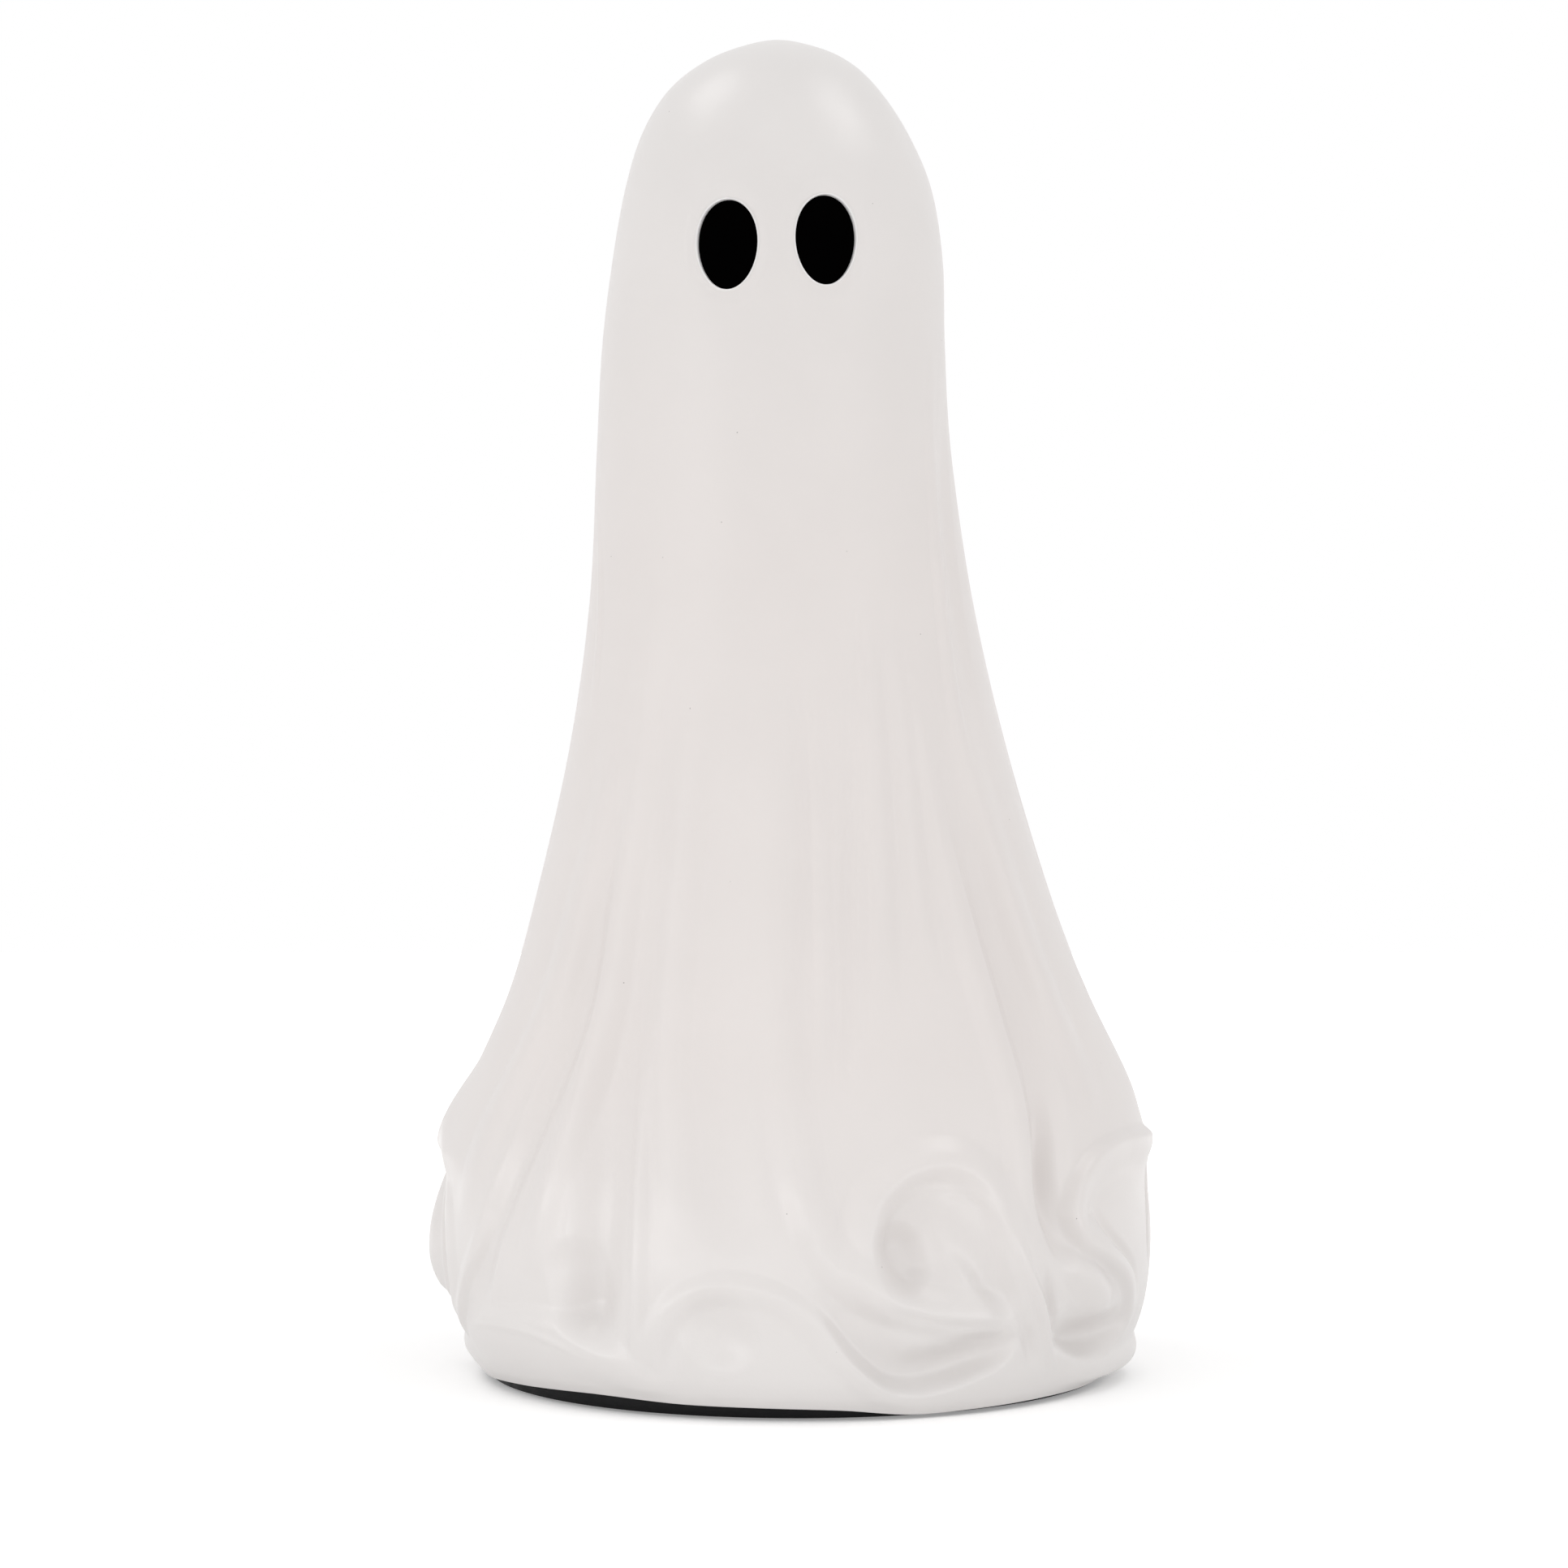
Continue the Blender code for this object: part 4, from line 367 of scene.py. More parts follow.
# Light
WORLD_LIGHT = 0.74
LAMPS = (
    ("left_softbox", (-1.30, -1.15, 0.90), (1.0, 1.0), 1.3, (0.0, 0.0, 0.10)),
    ("right_softbox", (1.30, -1.15, 0.90), (1.0, 1.0), 0.9, (0.0, 0.0, 0.10)),
    ("low_strip", (0.0, -1.30, 0.07), (1.2, 0.14), 1.2, (0.0, 0.0, 0.02)),
    ("left_low_strip", (-1.05, -0.85, 0.07), (1.2, 0.14), 2.6, (0.0, 0.0, 0.02)),
    ("right_low_strip", (1.05, -0.85, 0.07), (1.2, 0.14), 1.8, (0.0, 0.0, 0.02)),
    ("left_top_softbox", (-0.67, 0.02, 1.54), (0.5, 0.5), 2.2, (0.0, 0.0, 0.53)),
    ("right_top_softbox", (0.73, -0.14, 1.48), (0.5, 0.5), 2.2, (0.0, 0.0, 0.53)),
)
FLOOR_GLOW = 0.25
FAR_GLOW = 0.80
FLOOR_FADE = (0.25, 1.1)
FLOOR_REACH = 3.0
FLOOR_TILES = 6
FLOOR_DULL = (0.92, 0.92, 0.92)
FLOOR_PALE = (0.93, 0.93, 0.93)

# Camera
CAMERA_PLACE = (-0.0015, -1.8, 0.2818)
CAMERA_AIM = (-0.0015, 0.0, 0.2472)
CAMERA_LENS = 98.3
CAMERA_SENSOR = 36.0

# Colours, and where the white plastic is warmer, by height
WHITE = (1.0, 1.0, 1.0)
FAINT_GREY = (0.985, 0.985, 0.985)
SPECK_GREY = (0.45, 0.44, 0.43)
SPECK_SCALE = 60.0
LENS_DULL = (0.80, 0.80, 0.76)
LENS_CLEAR = (0.90, 0.90, 0.86)
WARMTH = (1.0, 0.972, 0.962)
WARM_SPAN = (0.25, 0.6)

# Patterns of the finishes: scales, where their ramps start and end, how far they reach, and depths
NOISE_SPAN = (0.3, 0.7)
MOTTLE = 0.06
MOTTLE_SCALE = 60.0
MOTTLE_SPAN = (0.35, 0.65)
GLOSS_SCALE = 220.0
GLOSS_SPREAD = 0.15
WHITE_MOTTLE_SCALE = 25.0
WHITE_GLOSS_SCALE = 90.0
WHITE_GLOSS_SPREAD = 0.08
PEEL_SCALE = 420.0
PEEL_DETAIL = 1.5
PEEL_DEPTH = 0.00006
GRAIN_SCALE = 1500.0
GRAIN_DEPTH = 0.00002
SOFT_BUMP = 0.6
SPECK_SPAN = (0.010, 0.018)
LENS_SCALE = 300.0
LENS_GLOSS_SCALE = 500.0
LENS_ROUGHNESS = (0.12, 0.22)
LENS_CLARITY = 0.6
FLOOR_SCALE = 3.0
FLOOR_ROUGHNESS = 0.9

# White finishes: colour and roughness
WHITE_FINISHES = {
    "shell_white": ((0.742, 0.718, 0.705), 0.35),
    # The eye openings' lips: the shell's white made lighter, a painted highlight where the lip catches the
    # light
    "painted_highlight_white": ((0.80, 0.79, 0.785), 0.34),
}

# Plain finishes: colour, roughness, scale of the grain, and what is unlike the others
PLAIN_FINISHES = {
    "eye_black": ((0.0006, 0.0005, 0.0005), 0.6, 900.0, {"specular": 0.0}),
    "base_black": ((0.004, 0.004, 0.0045), 0.5, 700.0, {"specular": 0.12}),
    "rubber": ((0.022, 0.022, 0.022), 0.78, 1100.0, {"depth": 0.00004}),
    "steel": ((0.60, 0.60, 0.61), 0.32, 1500.0, {"metallic": 1.0, "depth": 0.000008}),
    "cell_sleeve": ((0.03, 0.04, 0.07), 0.3, 400.0, {"depth": 0.00001}),
    "cell_band": ((0.46, 0.27, 0.10), 0.3, 400.0, {"metallic": 0.6, "depth": 0.00001}),
    "switch_black": ((0.018, 0.018, 0.019), 0.45, 900.0, {}),
    "knob_grey": ((0.30, 0.30, 0.31), 0.45, 1200.0, {}),
    "board_white": ((0.62, 0.64, 0.62), 0.4, 600.0, {"depth": 0.00001}),
    "wire_red": ((0.45, 0.03, 0.025), 0.4, 1200.0, {}),
    "wire_grey": ((0.40, 0.40, 0.40), 0.4, 1200.0, {}),
    "wire_black": ((0.02, 0.02, 0.02), 0.4, 1200.0, {}),
}

# The folds in front are this many times as high as their table says, and less beyond a bearing
RELIEF = 1.55
RELIEF_TURN = 50.0
RELIEF_FADE = 22.0

# The rim of an eye opening: how far out from its edge, and how deep under the sheet
EYE_RIM = (
    (0.00070, 0.00000),
    (0.00058, -0.00016),
    (0.00040, -0.00024),
    (0.00022, -0.00020),
    (0.00008, -0.00004),
    (0.00000, 0.00020),
    (0.00000, 0.00080),
    (0.00000, 0.00140),
    (0.00000, 0.00200),
)


def smooth_step(value):
    value = np.clip(value, 0.0, 1.0)
    return value * value * (3.0 - 2.0 * value)


def through(points, steps, first=None):
    """A smooth curve through the points, with this many steps to each; first is the point before them."""
    points = [np.array(point, float) for point in points]
    before = np.array(first, float) if first is not None else 2 * points[0] - points[1]
    points = [before, *points, 2 * points[-1] - points[-2]]
    curve = []
    for a, b, c, d in zip(points, points[1:], points[2:], points[3:]):
        bend = 2 * a - 5 * b + 4 * c - d
        twist = 3 * b - a - 3 * c + d
        for step in range(steps):
            t = step / steps
            curve.append(0.5 * (2 * b + (c - a) * t + bend * t**2 + twist * t**3))
    curve.append(points[-2])
    return np.array(curve)


def sheet_profile():
    """Rows of height, half width, half depth and shift, from the top of the head to the edge of the hem."""
    top = HEAD[0][0]
    scale = FIGURE_HEIGHT / top
    rows = []
    for height, width, depth, shift in HEAD:
        rows.append((height * scale, width * BODY_HALF_WIDTH, depth * BODY_HALF_DEPTH, shift))
    for height, wide, deep, shift in SKIRT:
        half_width = BODY_HALF_WIDTH + wide * (BASE_RADIUS - BODY_HALF_WIDTH)
        half_depth = BODY_HALF_DEPTH + deep * (BASE_RADIUS - BODY_HALF_DEPTH)
        rows.append((height * scale, half_width, half_depth, shift))
    for height, side, front, shift in HEM:
        rows.append((height, BASE_RADIUS + side, BASE_RADIUS + front, shift))
    edge = BASE_RADIUS + HEM_GAP + WALL
    rows.append((HEM_EDGE, edge, edge, BASE_SHIFT))
    mirrored = (rows[1][0], -rows[1][1], -rows[1][2], rows[1][3])
    return through(rows, PROFILE_STEPS, first=mirrored)


PROFILE = sheet_profile()


def section_at(height):
    """Half width, half depth and shift of the plain sheet."""
    return [np.interp(height, PROFILE[::-1, 0], PROFILE[::-1, column]) for column in (1, 2, 3)]


def loft(bearing, height):
    """Points of the plain sheet, without its folds."""
    half_width, half_depth, shift = section_at(height)
    angle = np.radians(bearing)
    across = shift + half_width * np.sin(angle)
    return np.stack([across, -half_depth * np.cos(angle), height + 0 * angle], -1)


def outward(bearing, height):
    """Unit vectors square to the plain sheet, pointing out."""
    turn = 0.5
    rise = 0.5 * MM
    low = np.maximum(height - rise, HEM_EDGE)
    high = np.minimum(height + rise, FIGURE_HEIGHT)
    across = loft(bearing + turn, height) - loft(bearing - turn, height)
    along = loft(bearing, high) - loft(bearing, low)
    square = np.cross(across, along)
    return square / np.maximum(np.linalg.norm(square, axis=-1, keepdims=True), TINY)


def turn_from(bearing, middle):
    """The turn from one bearing to others, the short way round."""
    return (bearing - middle + TURN / 2) % TURN - TURN / 2


def fold_lift(fold, bearing, height):
    """How far one fold lifts the sheet at each bearing and height."""
    path = through(fold.path, PATH_STEPS)
    middle = 0.5 * (path[:, 0].min() + path[:, 0].max())
    reach = max(fold.left, fold.right) * MM
    across = np.radians(turn_from(bearing, middle)) * section_at(height)[0]
    path_height = path[:, 1] * MM
    path_across = np.radians(path[:, 0] - middle) * section_at(path_height)[0]
    near = (
        (across > path_across.min() - reach)
        & (across < path_across.max() + reach)
        & (height > path_height.min() - reach)
        & (height < path_height.max() + reach)
    )
    lift = np.zeros_like(across)
    if not near.any():
        return lift
    at = np.stack([across[near], height[near]], -1)
    line = np.stack([path_across, path_height], -1)
    best = np.full(len(at), np.inf)
    side = np.zeros(len(at))
    rise = np.zeros(len(at))
    for start, end, first, last in zip(line, line[1:], path[:, 2], path[1:, 2]):
        run = end - start
        share = np.clip(((at - start) @ run) / (run @ run), 0.0, 1.0)
        away = at - (start + share[:, None] * run)
        distance = np.hypot(away[:, 0], away[:, 1])
        nearer = distance < best
        best = np.where(nearer, distance, best)
        side = np.where(nearer, run[0] * away[:, 1] - run[1] * away[:, 0], side)
        rise = np.where(nearer, first + share * (last - first), rise)
    width = np.where(side > 0, fold.left, fold.right) * MM
    lift[near] = rise * MM * np.maximum(0.0, 1.0 - (best / width) ** 2) ** 2
    return lift


def eye_lift(bearing, height):
    """The soft dent round each eye opening."""
    side = loft(bearing, height)[..., 0]
    front = np.abs(turn_from(bearing, 0.0)) < TURN / 4
    lift = np.zeros(side.shape)
    for place, middle in EYE_PLACES.values():
        across = (side - place) / EYE_HALF_WIDTH
        up = (height - middle) / EYE_HALF_HEIGHT
        beyond = (np.hypot(across, up) - 1.0) / EYE_DENT_REACH
        lift -= EYE_DENT * (1.0 - smooth_step(beyond)) * front
    return lift


def edge_wave(bearing):
    """How far the hem's edge stands over or under its plain height."""
    first = EDGE_WAVE[0]
    curve = through([*EDGE_WAVE, (first[0] + TURN, first[1])], PATH_STEPS)
    return np.interp(turn_from(bearing, 0.0), curve[:, 0], curve[:, 1])


def sheet(bearing, height):
    """Points of the sheet's outer face."""
    bearing, height = np.broadcast_arrays(np.asarray(bearing, float), np.asarray(height, float))
    lift = np.zeros(bearing.shape)
    for fold in FOLDS:
        lift = lift + fold_lift(fold, bearing, height)
    in_front = 1.0 - smooth_step((np.abs(turn_from(bearing, 0.0)) - RELIEF_TURN) / RELIEF_FADE)
    above_hem = smooth_step((height - HEM_EDGE) / HEM_FADE)
    lift = lift * (1.0 + (RELIEF - 1.0) * in_front * above_hem)
    lift = lift * smooth_step((height - HEM_EDGE) / (3 * WALL)) + eye_lift(bearing, height)
    points = loft(bearing, height) + lift[..., None] * outward(bearing, height)
    points[..., 2] += edge_wave(bearing) * (1.0 - smooth_step((height - HEM_EDGE) / HEM_FADE))
    return points


def grid_normals(grid):
    """Unit vectors square to a grid of rows and closed columns, pointing out."""
    across = np.roll(grid, -1, axis=1) - np.roll(grid, 1, axis=1)
    along = np.gradient(grid, axis=0)
    square = np.cross(along, across)
    return square / np.linalg.norm(square, axis=-1, keepdims=True)


def eye_points(place, across, up, depth):
    """Points at a depth under the sheet, by their distance across and up from an eye's middle."""
    side, middle = place
    heights = middle + up
    half_width, _, shift = section_at(heights)
    bearings = np.degrees(np.arcsin((side + across - shift) / half_width))
    return sheet(bearings, heights) - depth * outward(bearings, heights)


def egg(angle, beyond=0.0):
    """Distances across and up of an eye's outline, or of a line beyond it."""
    across = (EYE_HALF_WIDTH + beyond) * (1.0 + EYE_EGG * np.sin(angle)) * np.cos(angle)
    return across, (EYE_HALF_HEIGHT + beyond) * np.sin(angle)


def new_object(name, mesh, *finishes):
    made = bpy.data.objects.new(name, mesh)
    bpy.context.scene.collection.objects.link(made)
    for finish in finishes:
        mesh.materials.append(finish)
    return made


def shade(made, angle=SHARP_LATHED):
    made.data.shade_smooth()
    made.data.set_sharp_from_angle(angle=math.radians(angle))


class Skin:
    """Collects the points and faces of one mesh."""

    def __init__(self):
        self.points = []
        self.faces = []
        self.finishes = []
        self.count = 0

    def add(self, points):
        points = np.asarray(points).reshape(-1, 3)
        first = self.count
        self.points.append(points)
        self.count += len(points)
        return np.arange(first, self.count)

    def face(self, corners, finish=0):
        self.faces.append(tuple(int(corner) for corner in corners))
        self.finishes.append(finish)

    def join(self, ring, after, finish=0):
        """Faces from one ring to the next; after may have as many points or half as many."""
        steps = len(after)
        double = steps * 2 == len(ring)
        for i in range(steps):
            j = (i + 1) % steps
            if double:
                corners = (ring[2 * i], after[i], after[j], ring[2 * j], ring[2 * i + 1])
            else:
                corners = (ring[i], after[i], after[j], ring[j])
            self.face(corners, finish)

    def grow(self, ring, points, finish=0):
        """Adds a ring of points, joined to the ring before it."""
        after = self.add(points)
        self.join(ring, after, finish)
        return after

    def fan(self, tip, ring, finish=0):
        """Faces from a tip to each step of a ring."""
        for corner, after in zip(ring, np.roll(ring, -1)):
            self.face((tip, corner, after), finish)

    def mesh(self, name):
        made = bpy.data.meshes.new(name)
        made.from_pydata(np.concatenate(self.points).tolist(), [], self.faces)
        made.polygons.foreach_set("material_index", self.finishes)
        made.update()
        return made


def sheet_columns():
    front = np.arange(0.0, FRONT_TURN, FRONT_STEP) - FRONT_TURN / 2
    back = np.arange(0.0, TURN - FRONT_TURN, BACK_STEP) + FRONT_TURN / 2
    return np.concatenate([front, back])


def sheet_rows():
    """Heights of the rows, closest together at the hem and round the eyes; their number is even."""
    side = np.hypot(np.diff(PROFILE[:, 0]), np.diff(PROFILE[:, 1]))
    middle = (PROFILE[1:, 0] + PROFILE[:-1, 0]) / 2
    run = np.concatenate([[0.0], np.cumsum(side / np.interp(middle, *ROW_STEPS))])
    count = 2 * int(run[-1] / 2)
    return np.interp(np.linspace(0.0, run[-1], count + 1)[1:], run, PROFILE[:, 0])


def eye_window(place, columns, rows):
    """The rows and columns of the window round an eye, all even."""
    side, middle = place
    half_width, _, shift = section_at(middle)
    front = columns[: int(FRONT_TURN / FRONT_STEP)]
    edges = []
    for way in (-1, 1):
        reach = (side + way * WINDOW_WIDE * EYE_HALF_WIDTH - shift) / half_width
        edges.append(int(np.searchsorted(front, math.degrees(math.asin(reach)))) // 2 * 2)
    for way in (1, -1):
        edges.append(int(np.searchsorted(-rows, -(middle + way * WINDOW_HIGH * EYE_HALF_HEIGHT))) // 2 * 2)
    left, right, top, bottom = edges
    return top, bottom, left, right


def window_loop(window):
    top, bottom, left, right = window
    loop = [(top, column) for column in range(left, right)]
    loop += [(row, right) for row in range(top, bottom)]
    loop += [(bottom, column) for column in range(right, left, -1)]
    loop += [(row, left) for row in range(bottom, top, -1)]
    return loop


def grid_faces(skin, index, windows, inside):
    """Faces of a grid of rows and closed columns, without those in the windows."""
    rows, count = index.shape
    keep = np.ones((rows - 1, count), bool)
    for top, bottom, left, right in windows:
        keep[top:bottom, left:right] = False
    a = index[:-1]
    b = np.roll(index, -1, axis=1)[:-1]
    c = np.roll(index, -1, axis=1)[1:]
    d = index[1:]
    corners = np.stack([a, b, c, d] if inside else [a, d, c, b], -1)[keep]
    skin.faces.extend(map(tuple, corners.tolist()))
    skin.finishes.extend([0] * len(corners))


def make_shell(white, painted_highlight_white):
    """The moulded sheet: fine outer face, rounded hem, inturned flange and a coarser inner face; the eye
    openings' lips take a lighter white, a painted highlight.
    """
    columns = sheet_columns()
    rows = sheet_rows()
    grid = sheet(columns[None, :], rows[:, None])
    inner = (grid - WALL * grid_normals(grid))[::2, ::2]
    inner = inner[rows[::2] > FLANGE_TOP + 2 * WALL]
    skin = Skin()
    outer_index = skin.add(grid).reshape(grid.shape[:2])
    inner_index = skin.add(inner).reshape(inner.shape[:2])
    windows = {name: eye_window(place, columns, rows) for name, place in EYE_PLACES.items()}
    grid_faces(skin, outer_index, windows.values(), False)
    halves = [tuple(edge // 2 for edge in window) for window in windows.values()]
    grid_faces(skin, inner_index, halves, True)

    # Caps of the head
    top = np.array([PROFILE[0, 3], 0.0, PROFILE[0, 0]])
    tip, under_tip = skin.add([top, top - np.array([0.0, 0.0, WALL])])
    skin.fan(tip, outer_index[0])
    skin.fan(under_tip, inner_index[0, ::-1])

    # Rounded lip of the hem, wall beside the base and flange over it
    wall = BASE_RADIUS + HEM_GAP
    last = outer_index[-1]
    for k in range(1, LIP_STEPS + 1):
        angle = math.pi * k / LIP_STEPS
        radius = wall + WALL * (1.0 + math.cos(angle)) / 2
        height = HEM_EDGE + edge_wave(columns) - LIP_DROP * math.sin(angle)
        last = skin.grow(last, base_ring(columns, radius, height))
    half = columns[::2]
    for radius, height in (
        (wall, FLANGE_BOTTOM),
        (FLANGE_RADIUS, FLANGE_BOTTOM),
        (FLANGE_RADIUS, FLANGE_TOP),
        (wall + WALL, FLANGE_TOP),
    ):
        last = skin.grow(last, base_ring(half, radius, height + 0 * half))
    skin.join(last, inner_index[-1])

    # Eye openings, from the sheet over their rims to the inner face
    for name, place in EYE_PLACES.items():
        loop_rows, loop_columns = np.array(window_loop(windows[name])).T
        across = loft(columns[loop_columns], rows[loop_rows])[:, 0] - place[0]
        up = rows[loop_rows] - place[1]
        angle = np.arctan2(up / EYE_HALF_HEIGHT, across / EYE_HALF_WIDTH)
        far = np.stack([across, up])
        near = np.stack(egg(angle, EYE_RIM[0][0]))
        last = outer_index[loop_rows, loop_columns]
        for k in range(1, WINDOW_RINGS + 1):
            last = skin.grow(last, eye_points(place, *(far + k / WINDOW_RINGS * (near - far)), 0.0))
        for beyond, depth in EYE_RIM[1:]:
            # The rim rings take the lighter white: a painted highlight on the opening's lip
            last = skin.grow(last, eye_points(place, *egg(angle, beyond), depth), 1)
        far = far[:, ::2]
        near = np.stack(egg(angle[::2]))
        for k in range(1, INNER_RINGS):
            last = skin.grow(last, eye_points(place, *(near + k / INNER_RINGS * (far - near)), WALL))
        skin.join(last, inner_index[loop_rows[::2] // 2, loop_columns[::2] // 2])
    shell = new_object("ghost_sheet", skin.mesh("ghost_sheet"), white, painted_highlight_white)
    shell.data.shade_smooth()
    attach(shell, "figure")
    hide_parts("ghost_shell")


def base_ring(bearings, radius, height):
    angle = np.radians(bearings)
    return np.stack([BASE_SHIFT + radius * np.sin(angle), -radius * np.cos(angle), height], -1)


def around(radius, bearing, centre=(BASE_SHIFT, 0.0)):
    angle = math.radians(bearing)
    return centre[0] + radius * math.sin(angle), centre[1] - radius * math.cos(angle)


def lathe(skin, profile, place, steps, finish=0, way=(0.0, 0.0, 1.0)):
    """Turns a profile of radius and height about a line through the place; its ends lie on the line."""
    turn = np.array(Vector((0.0, 0.0, 1.0)).rotation_difference(Vector(way)).to_matrix())
    angle = np.linspace(0.0, 2 * math.pi, steps, endpoint=False)
    finishes = finish if isinstance(finish, tuple) else [finish] * (len(profile) - 1)
    last = None
    for number, (radius, height) in enumerate(profile):
        if radius == 0.0:
            points = np.array([[0.0, 0.0, height]])
        else:
            points = np.stack([radius * np.cos(angle), radius * np.sin(angle), height + 0 * angle], -1)
        ring = skin.add(points @ turn.T + np.array(place))
        if last is not None:
            used = finishes[number - 1]
            if len(last) == 1:
                skin.fan(last[0], ring[::-1], used)
            elif len(ring) == 1:
                skin.fan(ring[0], last, used)
            else:
                skin.join(ring, last, used)
        last = ring


def lathed(name, profile, place, steps, *finishes, used=0, way=(0.0, 0.0, 1.0)):
    skin = Skin()
    lathe(skin, profile, place, steps, used, way)
    made = new_object(name, skin.mesh(name), *finishes)
    shade(made)
    return made


def rod(name, radius, low, high, place):
    """A plain helper rod."""
    return lathed(name, ((0.0, low), (radius, low), (radius, high), (0.0, high)), (*place, 0.0), ROD_STEPS)


def block(name, middle, half, heights, bevel, *finishes):
    """A box with bevelled edges, by its middle, its half lengths, and its bottom and top."""
    low = (*np.subtract(middle, half), heights[0])
    high = (*np.add(middle, half), heights[1])
    mesh = bpy.data.meshes.new(name)
    solid = bmesh.new()
    for corner in np.ndindex(2, 2, 2):
        for out in range(3):
            point = []
            for axis in range(3):
                inset = 0.0 if axis == out else bevel
                point.append(high[axis] - inset if corner[axis] else low[axis] + inset)
            solid.verts.new(point)
    bmesh.ops.convex_hull(solid, input=solid.verts)
    bmesh.ops.dissolve_limit(solid, angle_limit=math.radians(1), verts=solid.verts, edges=solid.edges)
    bmesh.ops.recalc_face_normals(solid, faces=solid.faces)
    solid.to_mesh(mesh)
    solid.free()
    made = new_object(name, mesh, *finishes)
    shade(made, SHARP_BLOCK)
    return made


def carve(made, helpers, operation="DIFFERENCE"):
    """Cuts helpers out of a piece or joins them to it, then puts the helpers away."""
    held = bpy.data.collections.new("helpers")
    for helper in helpers:
        bpy.context.scene.collection.objects.unlink(helper)
        held.objects.link(helper)
    boolean = made.modifiers.new("carve", "BOOLEAN")
    boolean.operation = operation
    boolean.solver = "EXACT"
    boolean.operand_type = "COLLECTION"
    boolean.collection = held
    mesh = bpy.data.meshes.new_from_object(made.evaluated_get(bpy.context.evaluated_depsgraph_get()))
    made.modifiers.remove(boolean)
    old = made.data
    made.data = mesh
    bpy.data.meshes.remove(old)
    mesh.name = made.name
    for helper in helpers:
        bpy.data.objects.remove(helper)
    bpy.data.collections.remove(held)
    shade(made, SHARP_CARVED)


def settle(made, body, slot, *nodes):
    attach(made, body)
    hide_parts(*nodes)


def make_eyes(black):
    """Black inserts that follow the sheet a little under it, with a lip behind the opening's edge."""
    soft = 0.0001
    back = WALL + EYE_GAP
    middle = np.zeros(1)
    angle = np.linspace(0.0, 2 * math.pi, EYE_STEPS, endpoint=False)
    for name, place in EYE_PLACES.items():
        skin = Skin()
        tip = skin.add(eye_points(place, middle, middle, EYE_DEPTH))
        across, up = egg(angle, -EYE_GAP)
        last = skin.add(eye_points(place, EYE_SHARES[0] * across, EYE_SHARES[0] * up, EYE_DEPTH))
        skin.fan(tip[0], last)
        for share in EYE_SHARES[1:]:
            last = skin.grow(last, eye_points(place, share * across, share * up, EYE_DEPTH))
        for beyond, depth in (
            (-EYE_GAP - soft, EYE_DEPTH + soft),
            (-EYE_GAP, EYE_DEPTH + 4 * soft),
            (-EYE_GAP, back),
            (EYE_LIP, back),
            (EYE_LIP, back + EYE_LIP_THICKNESS),
        ):
            last = skin.grow(last, eye_points(place, *egg(angle, beyond), depth))
        under = skin.add(eye_points(place, middle, middle, back + EYE_LIP_THICKNESS))
        skin.fan(under[0], last[::-1])
        made = new_object(f"eye_insert_{name}", skin.mesh(f"eye_insert_{name}"), black)
        shade(made, SHARP_EYE)
        settle(made, "figure", "eye_black", f"eye_{name}")


def switch_screw_places():
    reach = SLOT_LENGTH / 2 + SWITCH_WALL + BOSS_RADIUS + 2 * GAP
    return [(SWITCH_PLACE[0] + side * reach, SWITCH_PLACE[1]) for side in (-1, 1)]


def box_screw_places():
    reach = BOX_HALF_LENGTH + BOX_WALL + BOSS_RADIUS + 2 * GAP
    return [(BASE_SHIFT + side * reach, BOX_PLACE_Y) for side in (-1, 1)]


def board_screw_places():
    centre = (BASE_SHIFT, BOARD_PLACE_Y)
    step = TURN / BOARD_SCREW_COUNT
    return [around(BOARD_SCREW_CIRCLE, step * k, centre) for k in range(BOARD_SCREW_COUNT)]


def base_screw_places():
    return [around(BASE_SCREW_CIRCLE, TURN * k / BASE_SCREW_COUNT) for k in range(BASE_SCREW_COUNT)]


